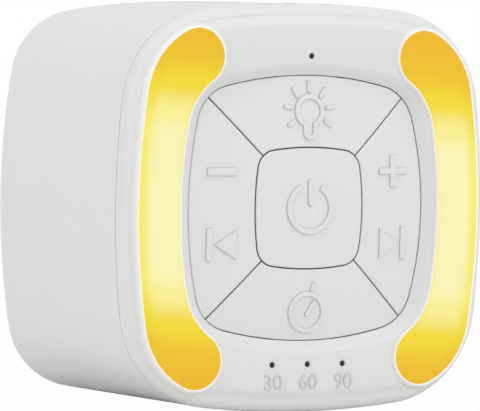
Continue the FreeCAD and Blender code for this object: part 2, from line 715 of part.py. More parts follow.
def make_rear_housing():
    body = new_body("rear_housing")
    outline = front_sketch(body, "shell_outline", "Sizes.seam_depth")
    rounded_square(outline, "box")
    solid = pad(body, "shell", outline, "Sizes.body_depth - Sizes.seam_depth")
    edges = edges_where(solid, at_depth(size("body_depth")))
    rounded = round_edges(body, "back_edge", solid, edges, "Sizes.back_round")
    mouth = [f"Face{number}" for number, face in enumerate(rounded.Shape.Faces, 1)
             if abs(face.BoundBox.YMax - size("seam_depth")) < 1e-3]
    hollow = body.newObject("PartDesign::Thickness", "hollow")
    hollow.Base = (rounded, mouth)
    hollow.Reversed = True
    bind(hollow, "Value", "Sizes.wall")
    document.recompute()

    bay = front_sketch(body, "bay_outline", "Sizes.door_inner")
    rectangle(bay, 0, size("bay_z"), size("bay_width") + 2 * size("bay_wall"),
              size("bay_height") + 2 * size("bay_wall"))
    pad(body, "bay", bay, "Sizes.door_inner - Sizes.bay_floor + Sizes.bay_wall", False)
    round_pads(body, "door_bosses", DOOR_SCREWS, "door_boss_radius", "Sizes.door_inner",
               "Sizes.door_inner - Sizes.bay_floor", False)
    round_pads(body, "post_bosses", POSTS, "post_radius", "Sizes.door_inner",
               "Sizes.door_inner - Sizes.post_end - Sizes.fit_gap", False)
    inside = front_sketch(body, "bay_inside", "Sizes.body_depth")
    rectangle(inside, 0, size("bay_z"), size("bay_width"), size("bay_height"))
    pocket(body, "bay_room", inside, "Sizes.body_depth - Sizes.bay_floor", False)
    seat = front_sketch(body, "door_seat", "Sizes.body_depth")
    gap = size("door_gap")
    rectangle(seat, 0, size("bay_z"), size("door_width") + 2 * gap, size("door_height") + 2 * gap)
    pocket(body, "door_room", seat, "Sizes.wall", False)
    round_cuts(body, "tongue_room", DOOR_SCREWS, "tongue_room_radius", "Sizes.body_depth", "Sizes.wall", False)
    round_cuts(body, "door_pilots", DOOR_SCREWS, "pilot_radius", "Sizes.door_inner",
               "Sizes.door_screw_length", False)
    round_cuts(body, "post_holes", POSTS, "screw_room_radius", "Sizes.body_depth",
               "Sizes.body_depth - Sizes.post_end", False)
    round_cuts(body, "post_bores", POSTS, "head_room_radius", "Sizes.body_depth",
               "Sizes.body_depth - Sizes.post_seat", False)

    posts = level_sketch(body, "speaker_post_outline", "Sizes.speaker_top + Sizes.fit_gap / 2")
    for x, depth in SPEAKER_SCREWS:
        circle(posts, x, depth, size("speaker_post_radius"))
    pad(body, "speaker_posts", posts, "Sizes.body_half - Sizes.speaker_top - Sizes.speaker_post_top")
    pilots = level_sketch(body, "speaker_pilot_outline", "Sizes.speaker_top")
    for x, depth in SPEAKER_SCREWS:
        circle(pilots, x, depth, size("pilot_radius"))
    pocket(body, "speaker_pilots", pilots, "Sizes.speaker_screw_length")

    slots = level_sketch(body, "grille_outline", "Sizes.body_half")
    for column in range(-SLOTS_EACH_SIDE, SLOTS_EACH_SIDE + 1):
        slot(slots, column * size("slot_pitch"), size("slot_start"), size("slot_length"), size("slot_width"))
    pocket(body, "grille", slots, "Sizes.slot_depth", False)

    catches = level_sketch(body, "catch_outline", "Sizes.hook_level")
    room = size("fit_gap") * 2
    for side in (-1, 1):
        rectangle(catches, side * size("hook_x"), size("hook_end") - size("barb_length") / 2,
                  size("hook_width") + 2 * room, size("barb_length") + 2 * room)
    pocket(body, "catches", catches, "Sizes.hook_thickness + Sizes.barb_height + 2 * Sizes.fit_gap")

    feet = level_sketch(body, "foot_outline", "-Sizes.middle_z")
    for start in FEET:
        rectangle(feet, 0, start + size("foot_length") / 2, size("foot_width") + 2 * size("fit_gap"),
                  size("foot_length") + 2 * size("fit_gap"))
    pocket(body, "foot_seats", feet, "Sizes.foot_thickness + Sizes.fit_gap / 2")
    finish(body, "rear_housing")


def slot(sketch, x, start, length, width):
    """A slot with round ends, running from front to back."""
    radius = width / 2
    low, high = start + radius, start + length - radius
    arc(sketch, x, high, radius, 0, math.pi)
    arc(sketch, x, low, radius, math.pi, 2 * math.pi)
    line(sketch, (x - radius, high), (x - radius, low))
    line(sketch, (x + radius, low), (x + radius, high))


def make_window(side, word):
    lens = new_body(word + "_light_window")
    outline = front_sketch(lens, "outline", "Sizes.front_wall")
    window_outline(outline, size("opening_outer") - size("fit_gap"), size("opening_inner") + size("fit_gap"), side)
    body = pad(lens, "lens", outline, "Sizes.front_wall + Sizes.lens_proud", False)
    edges = edges_where(body, at_depth(-size("lens_proud")))
    round_edges(lens, "border", body, edges, "Sizes.lens_round")
    finish(lens, word + "_light_window")

    box = new_body(word + "_light_box")
    outside = front_sketch(box, "outside", "Sizes.box_front")
    window_outline(outside, size("box_outer"), size("box_inner"), side)
    pad(box, "block", outside, "Sizes.box_depth")
    inside = front_sketch(box, "inside", "Sizes.box_front")
    room_outer, room_inner = size("box_outer") - size("box_wall"), size("opening_inner") + size("box_lap")
    window_outline(inside, room_outer, room_inner, side)
    pocket(box, "room", inside, "Sizes.box_depth")
    finish(box, word + "_light_box")

    strip = new_body(word + "_light_board")
    plate = front_sketch(strip, "outline", "Sizes.strip_front")
    window_outline(plate, room_outer - size("fit_gap"), room_inner + size("fit_gap"), side)
    pad(strip, "plate", plate, "Sizes.strip_thickness")
    finish(strip, word + "_light_board")

    lamps = []
    for number, (x, z) in enumerate(LIGHT_LEDS, 1):
        front = "Sizes.strip_front - Sizes.light_led_height"
        lamps.append(block(f"{word}_led_{number}", str(side * x), front, str(z), "Sizes.light_led_width",
                           "Sizes.light_led_height", "Sizes.light_led_tall"))
    group(word + "_light_leds", lamps)


def band_middle(z):
    """Middle of a light window's band at a height, from its outer and inner edges."""
    total = 0.0
    for half, outline, grown in ((size("opening_outer"), "box", size("opening_outer") - size("body_half")),
                                 (size("opening_inner"), "keys", size("opening_inner") - size("key_half"))):
        half_name, side_name, corner_name = OUTLINES[outline]
        centre = corner_centre(size(half_name), size(side_name), size(corner_name))
        side, corner = size(side_name) + grown, size(corner_name) + grown
        reach = abs(z)
        if reach < centre:
            total += half - side + math.sqrt(side ** 2 - reach ** 2)
        else:
            total += centre + math.sqrt(max(corner ** 2 - (reach - centre) ** 2, 0))
    return total / 2


def make_power_button():
    body = new_body("power_button")
    outline = front_sketch(body, "outline", "Sizes.power_flange_depth")
    rounded_square(outline, "power")
    pad(body, "cap", outline, "Sizes.power_flange_depth + Sizes.lens_proud", False)
    crown_cut(body, "crown", 0)
    soften(body)
    symbol = front_sketch(body, "symbol_outline", "Sizes.flange_front")
    power_symbol(symbol)
    pad(body, "symbol", symbol, "Sizes.flange_front + Sizes.lens_proud", False)
    crown_cut(body, "symbol_face", size("symbol_height"))
    flange = front_sketch(body, "flange_outline", "Sizes.power_flange_depth")
    rounded_square(flange, "power", "power_flange_grown")
    pad(body, "flange", flange, "Sizes.flange_thickness")
    round_pads(body, "plunger", [(0, 0)], "plunger_radius", "Sizes.power_flange_depth",
               "Sizes.plunger_end - Sizes.power_flange_depth")
    finish(body, "power_button")


def soften(body):
    """Round the edge between a key's crown and its sides."""
    base = body.Tip
    crowns = [face for face in base.Shape.Faces if face.Surface.TypeId == "Part::GeomSphere"]
    edges = []
    for number, edge in enumerate(base.Shape.Edges, 1):
        if any(edge.isSame(other) for crown in crowns for other in crown.Edges):
            edges.append(f"Edge{number}")
    return round_edges(body, "soft_edge", base, edges, "Sizes.key_edge_round")


def outer_key(name, quarter, draw_symbol):
    body = new_body(name)
    outline = front_sketch(body, "outline", "Sizes.key_back")
    outer_key_outline(outline, quarter)
    pad(body, "cap", outline, "Sizes.key_back + Sizes.lens_proud", False)
    crown_cut(body, "crown", 0)
    soften(body)
    symbol = front_sketch(body, "symbol_outline", "Sizes.key_back - 0.2")
    draw_symbol(symbol)
    pad(body, "symbol", symbol, "Sizes.key_back + Sizes.lens_proud", False)
    crown_cut(body, "symbol_face", size("symbol_height"))
    return body


def key_flange(body, x, z, width, height):
    """A ledge behind the front face that keeps a key from falling out."""
    sketch = front_sketch(body, "flange_outline", "Sizes.flange_front")
    rectangle(sketch, x, z, width, height)
    pad(body, "flange", sketch, "Sizes.flange_thickness")


def make_push_key(name, quarter, sign, draw_symbol):
    """The light key above or the timer key below: it goes straight in."""
    body = outer_key(name, quarter, draw_symbol)
    reach = size("key_half") + size("flange_width")
    key_flange(body, 0, sign * (reach - size("flange_root") / 2), size("flange_span"), size("flange_root"))
    round_pads(body, "plunger", [(0, sign * size("light_key_z"))], "plunger_radius", "Sizes.key_back",
               "Sizes.plunger_end - Sizes.key_back")
    finish(body, name)


def make_rocker(name, quarter, sign, draw_symbol):
    """A side key that tilts on its pin: its upper and its lower end press a switch each."""
    body = outer_key(name, quarter, draw_symbol)
    reach = size("key_half") + size("flange_width")
    key_flange(body, sign * (reach - size("flange_root") / 2), 0, size("flange_root"), size("flange_span"))
    lug = front_sketch(body, "lug_outline", "Sizes.key_back")
    rectangle(lug, sign * size("rocker_x"), 0, size("lug_width"), size("lug_height"))
    pad(body, "lug", lug, "Sizes.pivot_depth + Sizes.lug_height / 4 - Sizes.key_back")
    bore = side_sketch(body, "bore_outline")
    circle(bore, size("pivot_depth"), 0, size("pin_radius") + size("pin_play"))
    hole = body.newObject("PartDesign::Pocket", "bore")
    hole.Profile = bore
    hole.Midplane = True
    bind(hole, "Length", "Sizes.key_field_size")
    document.recompute()
    pushes = [(sign * size("rocker_x"), rank * size("rocker_push_z")) for rank in (-1, 1)]
    round_pads(body, "plungers", pushes, "plunger_radius", "Sizes.key_back",
               "Sizes.rocker_plunger_end - Sizes.key_back")
    finish(body, name)


# Symbols on the keys: places measured from the middle of the key field


def power_symbol(sketch):
    outer, inner, opening = 5.65, 4.5, math.radians(30.5)
    start, end = math.pi / 2 + opening, math.pi * 5 / 2 - opening
    arc(sketch, 0, 0, outer, start, end)
    arc(sketch, 0, 0, inner, start, end)
    for angle in (start, end):
        direction = (math.cos(angle), math.sin(angle))
        line(sketch, (outer * direction[0], outer * direction[1]), (inner * direction[0], inner * direction[1]))
    bar(sketch, (0, 1.1), (0, 5.75), 1.1)


def lamp_symbol(sketch):
    bulb_z, foot_z = 20.9, 16.35
    for bulb, neck in ((3.56, 1.65), (2.62, 0.75)):
        meeting = math.asin(neck / bulb)
        arc(sketch, 0, bulb_z, bulb, meeting - math.pi / 2, math.pi * 3 / 2 - meeting)
        shoulder = bulb_z - bulb * math.cos(meeting)
        line(sketch, (neck, shoulder), (neck, foot_z))
        line(sketch, (-neck, foot_z), (-neck, shoulder))
        arc(sketch, 0, foot_z, neck, math.pi, 2 * math.pi)
    rays = (((4.3, 21.56), (5.9, 21.8)), ((3.8, 18.65), (5.05, 17.8)), ((2.87, 24.05), (3.8, 25.55)))
    bar(sketch, (0, 25.25), (0, 27.0), 0.8)
    for start, end in rays:
        bar(sketch, start, end, 0.8)
        bar(sketch, (-start[0], start[1]), (-end[0], end[1]), 0.8)


def clock_symbol(sketch):
    middle_z = -22.45
    circle(sketch, 0, middle_z, 4.45)
    circle(sketch, 0, middle_z, 3.5)
    bar(sketch, (0, middle_z - 0.5), (1.6, -20.5), 0.9)
    bar(sketch, (1.0, -17.7), (1.45, -16.3), 0.8)


def left_symbols(sketch):
    rectangle(sketch, -20.95, 7.85, 6.7, 1.6)
    rectangle(sketch, -23.75, -7.7, 1.2, 7.0)
    polygon(sketch, [(-22.5, -7.75), (-17.5, -10.9), (-17.5, -4.6)])


def right_symbols(sketch):
    middle_x, middle_z, reach, stroke = 20.8, 7.9, 3.45, 0.65
    points = []
    for turn in range(4):
        across, up = math.cos(turn * math.pi / 2), math.sin(turn * math.pi / 2)
        for x, z in ((reach, -stroke), (reach, stroke), (stroke, stroke)):
            points.append((middle_x + x * across - z * up, middle_z + x * up + z * across))
    polygon(sketch, points)
    rectangle(sketch, 23.65, -7.7, 1.2, 7.0)
    polygon(sketch, [(17.6, -4.55), (17.6, -11.0), (22.5, -7.75)])


def make_key_frame():
    body = new_body("key_frame")
    outline = front_sketch(body, "plate_outline", "Sizes.frame_depth")
    rounded_square(outline, "keys", "frame_grown")
    pad(body, "plate", outline, "Sizes.frame_thickness")
    tabs = front_sketch(body, "tab_outline", "Sizes.frame_depth")
    rectangle(tabs, 0, 0, size("frame_tab_width"), 2 * size("frame_reach"))
    pad(body, "tabs", tabs, "Sizes.frame_thickness")
    round_cuts(body, "dome_holes", SWITCHES, "dome_hole_radius", "Sizes.frame_depth", "Sizes.frame_thickness")
    round_cuts(body, "pipe_holes", INDICATORS, "pipe_room_radius", "Sizes.frame_depth", "Sizes.frame_thickness")
    round_cuts(body, "screw_holes", FRAME_SCREWS, "screw_room_radius", "Sizes.frame_depth",
               "Sizes.frame_thickness")
    back = "Sizes.frame_depth + Sizes.frame_thickness"
    round_pads(body, "board_posts", BOARD_SCREWS, "boss_radius", back, f"Sizes.board_depth - ({back})")
    round_cuts(body, "board_pilots", BOARD_SCREWS, "pilot_radius", "Sizes.board_depth",
               "Sizes.board_screw_length", False)
    ears = front_sketch(body, "ear_outline", "Sizes.frame_depth")
    for side in (-1, 1):
        for rank in (-1, 1):
            x = side * size("rocker_x") + rank * size("ear_offset")
            rectangle(ears, x, 0, size("ear_width"), size("lug_height"))
    pad(body, "ears", ears, "Sizes.frame_depth - Sizes.pivot_depth + Sizes.lug_height / 3", False)
    bore = side_sketch(body, "pin_outline")
    circle(bore, size("pivot_depth"), 0, size("pin_radius") + size("thread_gap"))
    hole = body.newObject("PartDesign::Pocket", "pin_holes")
    hole.Profile = bore
    hole.Midplane = True
    bind(hole, "Length", "Sizes.key_field_size")
    document.recompute()
    finish(body, "key_frame")


def make_rocker_pins():
    pins = []
    for side, word in ((-1, "left"), (1, "right")):
        start = f"{side} * Sizes.rocker_x - Sizes.pin_length / 2"
        pins.append(rod(word + "_pin", start, "Sizes.pivot_depth", "0", "Sizes.pin_radius", "Sizes.pin_length", "X"))
    group("rocker_pins", pins)


def make_button_mat():
    body = new_body("button_mat")
    sheet_outline = front_sketch(body, "sheet_outline", "Sizes.mat_front")
    rounded_square(sheet_outline, "keys", "mat_grown")
    pad(body, "sheet", sheet_outline, "Sizes.mat_thickness")
    round_pads(body, "domes", SWITCHES, "mat_dome_radius", "Sizes.mat_front", "Sizes.dome_height", False)
    back = "Sizes.mat_front + Sizes.mat_thickness"
    round_pads(body, "pips", SWITCHES, "stem_radius", back, f"Sizes.stem_front - 0.05 - ({back})")
    round_cuts(body, "post_holes", BOARD_SCREWS, "post_room_radius", "Sizes.mat_front", "Sizes.mat_thickness")
    finish(body, "button_mat")


def make_main_board():
    body = new_body("main_board")
    outline = front_sketch(body, "outline", "Sizes.board_depth")
    half, tab = size("board_size") / 2, size("board_tab_width") / 2
    high, reach = half, size("board_reach")
    polygon(outline, [(half, -high), (half, high), (tab, high), (tab, reach), (-tab, reach), (-tab, high),
                      (-half, high), (-half, -high), (-tab, -high), (-tab, -reach), (tab, -reach), (tab, -high)])
    pad(body, "board", outline, "Sizes.board_thickness")
    round_cuts(body, "screw_holes", BOARD_SCREWS, "screw_room_radius", "Sizes.board_depth",
               "Sizes.board_thickness")
    finish(body, "main_board")


def make_key_switches():
    items = []
    for number, (x, z) in enumerate(SWITCHES, 1):
        case = block(f"switch_case_{number}", str(x), "Sizes.switch_front", str(z), "Sizes.switch_width",
                     "Sizes.switch_height", "Sizes.switch_width")
        stem = rod(f"switch_stem_{number}", str(x), "Sizes.stem_front", str(z), "Sizes.stem_radius",
                   "Sizes.stem_height + 0.5")
        items.append(fuse(f"switch_{number}", [case, stem]))
    group("key_switches", items)


def make_indicators():
    leds, pipes = [], []
    for number, (x, z) in enumerate(INDICATORS, 1):
        front = "Sizes.board_depth - Sizes.indicator_height"
        leds.append(block(f"indicator_{number}", str(x), front, str(z), "1.6", "Sizes.indicator_height", "1.2"))
        tip = rod(f"pipe_tip_{number}", str(x), "Sizes.pipe_recess", str(z), "Sizes.hole_radius - Sizes.fit_gap",
                  "Sizes.front_wall")
        start = "Sizes.front_wall + Sizes.fit_gap"
        rest = rod(f"pipe_body_{number}", str(x), start, str(z), "Sizes.pipe_radius",
                   f"{front} - Sizes.fit_gap - ({start})")
        pipes.append(fuse(f"pipe_{number}", [tip, rest]))
    group("indicator_leds", leds)
    group("indicator_light_pipes", pipes)


def make_board_parts():
    back = "Sizes.board_back"
    group("control_chip", [block("control_case", "0", back, "4", "7", "1.2", "7")])
    group("sound_chip", [block("sound_case", "-12", back, "-9", "6", "1.5", "10")])
    group("capacitor", [rod("capacitor_can", "13", back, "-13", "3.1", "8")])
    sockets = []
    for number, side in enumerate((-1, 1), 1):
        sockets.append(block(f"socket_{number}", f"{side} * Sizes.socket_x", back, "Sizes.socket_z", "6",
                             "Sizes.socket_height", "5"))
    group("lead_sockets", sockets)


def make_speaker():
    top = "Sizes.speaker_top"
    plate = new_body("speaker_frame")
    outline = level_sketch(plate, "flange_outline", "Sizes.speaker_z")
    rectangle(outline, 0, size("speaker_depth"), size("speaker_size"), size("speaker_size"))
    pad(plate, "flange", outline, "Sizes.flange_sheet")
    neck = level_sketch(plate, "basket_foot", "Sizes.speaker_z - Sizes.basket_height")
    circle(neck, 0, size("speaker_depth"), size("magnet_radius") - 1)
    mouth = level_sketch(plate, "basket_mouth", "Sizes.speaker_z")
    circle(mouth, 0, size("speaker_depth"), size("cone_radius") + 1.2)
    basket = plate.newObject("PartDesign::AdditiveLoft", "basket")
    basket.Profile = mouth
    basket.Sections = [neck]
    document.recompute()
    inner_mouth = level_sketch(plate, "room_mouth", top)
    circle(inner_mouth, 0, size("speaker_depth"), size("cone_radius") + 0.4)
    inner_neck = level_sketch(plate, "room_foot", "Sizes.speaker_z - Sizes.basket_height + Sizes.flange_sheet")
    circle(inner_neck, 0, size("speaker_depth"), size("magnet_radius") - 2)
    room = plate.newObject("PartDesign::SubtractiveLoft", "basket_room")
    room.Profile = inner_mouth
    room.Sections = [inner_neck]
    document.recompute()
    terminal = level_sketch(plate, "terminal_outline", "Sizes.terminal_z")
    rectangle(terminal, 0, size("terminal_back") - size("terminal_reach") / 2, size("terminal_width"),
              size("terminal_reach"))
    pad(plate, "terminal", terminal, "Sizes.terminal_height")
    holes = level_sketch(plate, "screw_outline", top)
    for x, depth in SPEAKER_SCREWS:
        circle(holes, x, depth, size("screw_room_radius"))
    pocket(plate, "screw_holes", holes, "Sizes.flange_sheet", False)
    finish(plate, "speaker_frame")

    cone = document.addObject("Part::Cone", "cone_outside")
    bind(cone, "Radius1", "Sizes.coil_radius")
    bind(cone, "Radius2", "Sizes.cone_radius")
    bind(cone, "Height", "Sizes.cone_height")
    hollow = document.addObject("Part::Cone", "cone_inside")
    bind(hollow, "Radius1", "Sizes.coil_radius - Sizes.cone_sheet")
    bind(hollow, "Radius2", "Sizes.cone_radius - Sizes.cone_sheet")
    bind(hollow, "Height", "Sizes.cone_height")
    for item, shift in ((cone, "0"), (hollow, "Sizes.cone_sheet")):
        bind(item, "Placement.Base.y", "Sizes.speaker_depth")
        bind(item, "Placement.Base.z", f"{top} - Sizes.cone_height - 0.4 + {shift}")
    finish(cut("speaker_cone", cone, hollow), "speaker_cone")

    foot = "Sizes.speaker_z - Sizes.basket_height"
    group("speaker_magnet", [rod("magnet_ring", "0", "Sizes.speaker_depth", f"{foot} - Sizes.magnet_height",
                                 "Sizes.magnet_radius", "Sizes.magnet_height", "Z")])

    ring = rod("gasket_outside", "0", "Sizes.speaker_depth", top, "Sizes.cone_radius + 2", "6", "Z")
    bore = rod("gasket_inside", "0", "Sizes.speaker_depth", top, "Sizes.cone_radius + 0.4", "6", "Z")
    tube = cut("gasket_tube", ring, bore)
    roof = rod("gasket_roof", "0", "0", "Sizes.body_half - Sizes.side_radius",
               "Sizes.side_radius - Sizes.wall - Sizes.fit_gap", "Sizes.body_depth")
    gasket = document.addObject("Part::Common", "speaker_gasket")
    gasket.Base = tube
    gasket.Tool = roof
    finish(gasket, "speaker_gasket")
    screws("speaker_screws", [(str(x), str(depth)) for x, depth in SPEAKER_SCREWS],
           "Sizes.speaker_z - Sizes.head_height", "Sizes.speaker_screw_length", "Z")


def make_battery():
    cells = []
    for row in (-1, 0, 1):
        z = f"Sizes.bay_z + {row} * Sizes.cell_pitch"
        end = "Sizes.bay_width / 2 - Sizes.contact_sheet - 0.1"
        case_start = f"{end} - Sizes.button_length - Sizes.cell_length"
        if row == 0:
            case_start = f"-({end}) + Sizes.button_length"
        button_start = f"-({end})" if row == 0 else f"{end} - Sizes.button_length - 0.5"
        case = rod(f"cell_case_{row + 2}", case_start, "Sizes.cell_depth", z, "Sizes.cell_radius",
                   "Sizes.cell_length", "X")
        button = rod(f"cell_button_{row + 2}", button_start, "Sizes.cell_depth", z, "Sizes.button_radius",
                     "Sizes.button_length + 0.5", "X")
        cells.append(fuse(f"cell_{row + 2}", [case, button]))
    group("battery_cells", cells)

    plates = []
    wall_x = "(Sizes.bay_width / 2 - Sizes.contact_sheet / 2)"
    contact_rows = ((-1, (1,)), (1, (1, 0)), (-1, (0, -1)), (1, (-1,)))
    for number, (side, rows) in enumerate(contact_rows, 1):
        middle = sum(rows) / len(rows)
        tall = f"{len(rows)} * Sizes.cell_pitch - 4"
        plate = block(f"contact_plate_{number}", f"{side} * {wall_x}", "Sizes.cell_depth - 5",
                      f"Sizes.bay_z + {middle} * Sizes.cell_pitch", "Sizes.contact_sheet", "10", tall)
        negative = [row for row in rows if (side < 0) == (row != 0)]
        items = [plate] + [contact_bow(number, side, row) for row in negative]
        plates.append(fuse(f"contact_{number}", items) if negative else plate)
    group("battery_contacts", plates)


def contact_bow(number, side, row):
    """The sprung bow of a contact, between the bay wall and the flat end of a cell."""
    name = f"bow_{number}_{row + 2}"
    z = f"Sizes.bay_z + {row} * Sizes.cell_pitch - Sizes.bow_width / 2"
    x = f"{side} * (Sizes.bay_width / 2 - Sizes.bow_reach + Sizes.bow_radius)"
    outside = rod(name + "_outside", x, "Sizes.cell_depth", z, "Sizes.bow_radius", "Sizes.bow_width", "Z")
    inside = rod(name + "_inside", x, "Sizes.cell_depth", z, "Sizes.bow_radius - Sizes.contact_sheet",
                 "Sizes.bow_width", "Z")
    ring = cut(name + "_ring", outside, inside)
    room = block(name + "_room", f"{side} * (Sizes.bay_width / 2 - Sizes.bow_reach / 2)",
                 "Sizes.cell_depth - Sizes.bow_radius", f"Sizes.bay_z + {row} * Sizes.cell_pitch",
                 "Sizes.bow_reach - 0.1", "2 * Sizes.bow_radius", "Sizes.bow_width")
    bow = document.addObject("Part::Common", name)
    bow.Base = ring
    bow.Tool = room
    return bow


def make_battery_door():
    body = new_body("battery_door")
    outline = front_sketch(body, "plate_outline", "Sizes.door_inner")
    rectangle(outline, 0, size("bay_z"), size("door_width"), size("door_height"))
    pad(body, "plate", outline, "Sizes.wall")
    round_pads(body, "tongues", DOOR_SCREWS, "tongue_radius", "Sizes.door_inner", "Sizes.wall")
    ribs = front_sketch(body, "rib_outline", "Sizes.door_inner")
    for side in (-1, 1):
        x = side * (size("bay_width") / 2 - size("rib_inset"))
        rectangle(ribs, x, size("bay_z"), size("rib_thickness"), size("bay_height") * 0.6)
    pad(body, "ribs", ribs, "Sizes.rib_height", False)
    round_cuts(body, "screw_holes", DOOR_SCREWS, "screw_room_radius", "Sizes.body_depth", "Sizes.wall", False)
    round_cuts(body, "head_seats", DOOR_SCREWS, "head_room_radius", "Sizes.body_depth",
               "Sizes.head_height", False)
    grip = front_sketch(body, "grip_outline", "Sizes.body_depth")
    for row in range(GRIP_LINES):
        rectangle(grip, 0, size("grip_z") + row * size("grip_pitch"), size("grip_width"), size("grip_pitch") / 2)
    pocket(body, "grip", grip, "Sizes.grip_cut", False)
    finish(body, "battery_door")
    screws("battery_door_screws", [(str(x), str(z)) for x, z in DOOR_SCREWS], "Sizes.body_depth",
           "Sizes.door_screw_length + Sizes.wall - Sizes.head_height - 0.5")


def make_leads():
    """Two wires of each pair run side by side from a board socket to where they are soldered."""
    start, across, up = size("socket_back"), size("socket_x"), size("socket_z")
    bay_front = size("bay_floor") - size("bay_wall")
    terminal = (0.0, size("terminal_back") - size("terminal_reach") / 2, size("terminal_z"))
    speaker_route = [(-across, start, up), (-across, start + 6.4, up), (-5.0, start + 6.4, up + 4), terminal]
    battery_route = [(across, start, up), (across, start + 8, up), (16.0, start + 17, up - 4),
                     (16.0, bay_front, up - 4)]
    for label, points in (("speaker_leads", speaker_route), ("battery_leads", battery_route)):
        wires = []
        for number, shift in enumerate((-size("lead_spacing"), size("lead_spacing")), 1):
            moved = [FreeCAD.Vector(x + shift, depth, z - shift) for x, depth, z in points]
            if points is speaker_route:
                moved[-1] = FreeCAD.Vector(1.4 * shift, terminal[1], terminal[2] - size("lead_radius") / 2)
            wire = document.addObject("Part::Feature", f"{label}_{number}")
            wire.Shape = tube(moved, size("lead_radius"))
            wires.append(wire)
        group(label, wires)


def tube(points, radius):
    """Straight runs joined by tangent arcs, each as large as its two runs allow."""
    edges = []
    start = points[0]
    for before, corner, after in zip(points, points[1:], points[2:]):
        first, second = corner - before, after - corner
        run = min(first.Length, second.Length) * 0.45
        into, out = first.normalize(), second.normalize()
        entry, leave = corner - into * run, corner + out * run
        half_turn = into.getAngle(out) / 2
        bend = run / math.tan(half_turn)
        print("lead bend radius", round(bend, 2))
        inward = (out - into).normalize()
        middle = corner + inward * (bend / math.cos(half_turn) - bend)
        edges.append(Part.LineSegment(start, entry).toShape())
        edges.append(Part.Arc(entry, middle, leave).toShape())
        start = leave
    edges.append(Part.LineSegment(start, points[-1]).toShape())
    path = Part.Wire(edges)
    ring = Part.Circle(points[0], points[1] - points[0], radius).toShape()
    shape = path.makePipeShell([Part.Wire([ring])], True, False)
    if abs(shape.Volume / (math.pi * radius ** 2 * path.Length) - 1) > 0.01:
        raise ValueError("a lead's volume does not match its length")
    return shape


def make_feet():
    items = []
    for number, start in enumerate(FEET, 1):
        items.append(block(f"foot_{number}", "0", str(start), "-Sizes.middle_z + Sizes.foot_thickness / 2",
                           "Sizes.foot_width", "Sizes.foot_length", "Sizes.foot_thickness"))
    group("rubber_feet", items)


# Places shared by several pieces
GRIP_LINES = 4
SLOTS_EACH_SIDE = 2
INDICATORS = [(0.0, size("top_hole_z"))]
for column in (-1, 0, 1):
    INDICATORS.append((column * size("timer_hole_pitch"), -size("timer_hole_z")))
FRAME_SCREWS = [(sx * size("frame_screw_x"), sz * size("frame_screw_z")) for sx in (-1, 1) for sz in (-1, 1)]
BOARD_SCREWS = [(sx * size("board_screw_x"), sz * size("board_screw_x")) for sx in (-1, 1) for sz in (-1, 1)]
POSTS = [(side * size("post_x"), -size("post_z")) for side in (-1, 1)]
DOOR_SCREWS = [(0.0, size("door_screw_up")), (0.0, size("door_screw_down"))]
FEET = [size("foot_first"), size("foot_last")]
SWITCHES = [(0.0, 0.0), (0.0, size("light_key_z")), (0.0, -size("light_key_z"))]
for column in (-1, 1):
    for rank in (-1, 1):
        SWITCHES.append((column * size("rocker_x"), rank * size("rocker_push_z")))
SPEAKER_SCREWS = []
for column in (-1, 1):
    for rank in (-1, 1):
        SPEAKER_SCREWS.append((column * size("speaker_screw"), size("speaker_depth") + rank * size("speaker_screw")))
LED_REACH = size("body_half") - size("light_led_inset")
LIGHT_LEDS = []
for rank in (-5, -3, -1, 1, 3, 5):
    LIGHT_LEDS.append((band_middle(rank * LED_REACH / 5), rank * LED_REACH / 5))

make_front_housing()
make_rear_housing()
for side, word in ((-1, "left"), (1, "right")):
    make_window(side, word)
make_power_button()
make_push_key("light_button", 1, 1, lamp_symbol)
make_push_key("timer_button", 3, -1, clock_symbol)
make_rocker("left_rocker", 2, -1, left_symbols)
make_rocker("right_rocker", 0, 1, right_symbols)
make_key_frame()
make_rocker_pins()
make_button_mat()
make_main_board()
make_key_switches()
make_indicators()
make_board_parts()
make_speaker()
make_battery()
make_battery_door()
make_leads()
make_feet()
frame_back = "Sizes.frame_depth + Sizes.frame_thickness + Sizes.head_height"
screws("frame_screws", [(str(x), str(z)) for x, z in FRAME_SCREWS], frame_back,
       "Sizes.frame_screw_length + Sizes.frame_thickness - 0.5")
screws("board_screws", [(str(x), str(z)) for x, z in BOARD_SCREWS], "Sizes.board_back + Sizes.head_height",
       "Sizes.board_screw_length + Sizes.board_thickness - 0.5")
screws("housing_screws", [(str(x), str(z)) for x, z in POSTS], "Sizes.post_seat + Sizes.head_height",
       "Sizes.post_seat - Sizes.post_end + Sizes.housing_screw_length - 0.5")

document.recompute()
for item in document.Objects:
    if "Invalid" in item.State or "Error" in item.State:
        raise ValueError(f"{item.Name} failed: {item.State}")
for item in pieces:
    if item.Shape.isNull() or not item.Shape.isValid():
        raise ValueError(f"{item.Label} has no valid shape")
os.makedirs("parts", exist_ok=True)
for item in pieces:
    item.Shape.exportStep(f"parts/{item.Label}.step")
    box = item.Shape.BoundBox
    print(item.Label, len(item.Shape.Solids), round(item.Shape.Volume, 1))
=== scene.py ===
import json
import math

import bmesh
import bpy
from bpy.props import FloatProperty, FloatVectorProperty, PointerProperty
from mathutils import Matrix, Vector


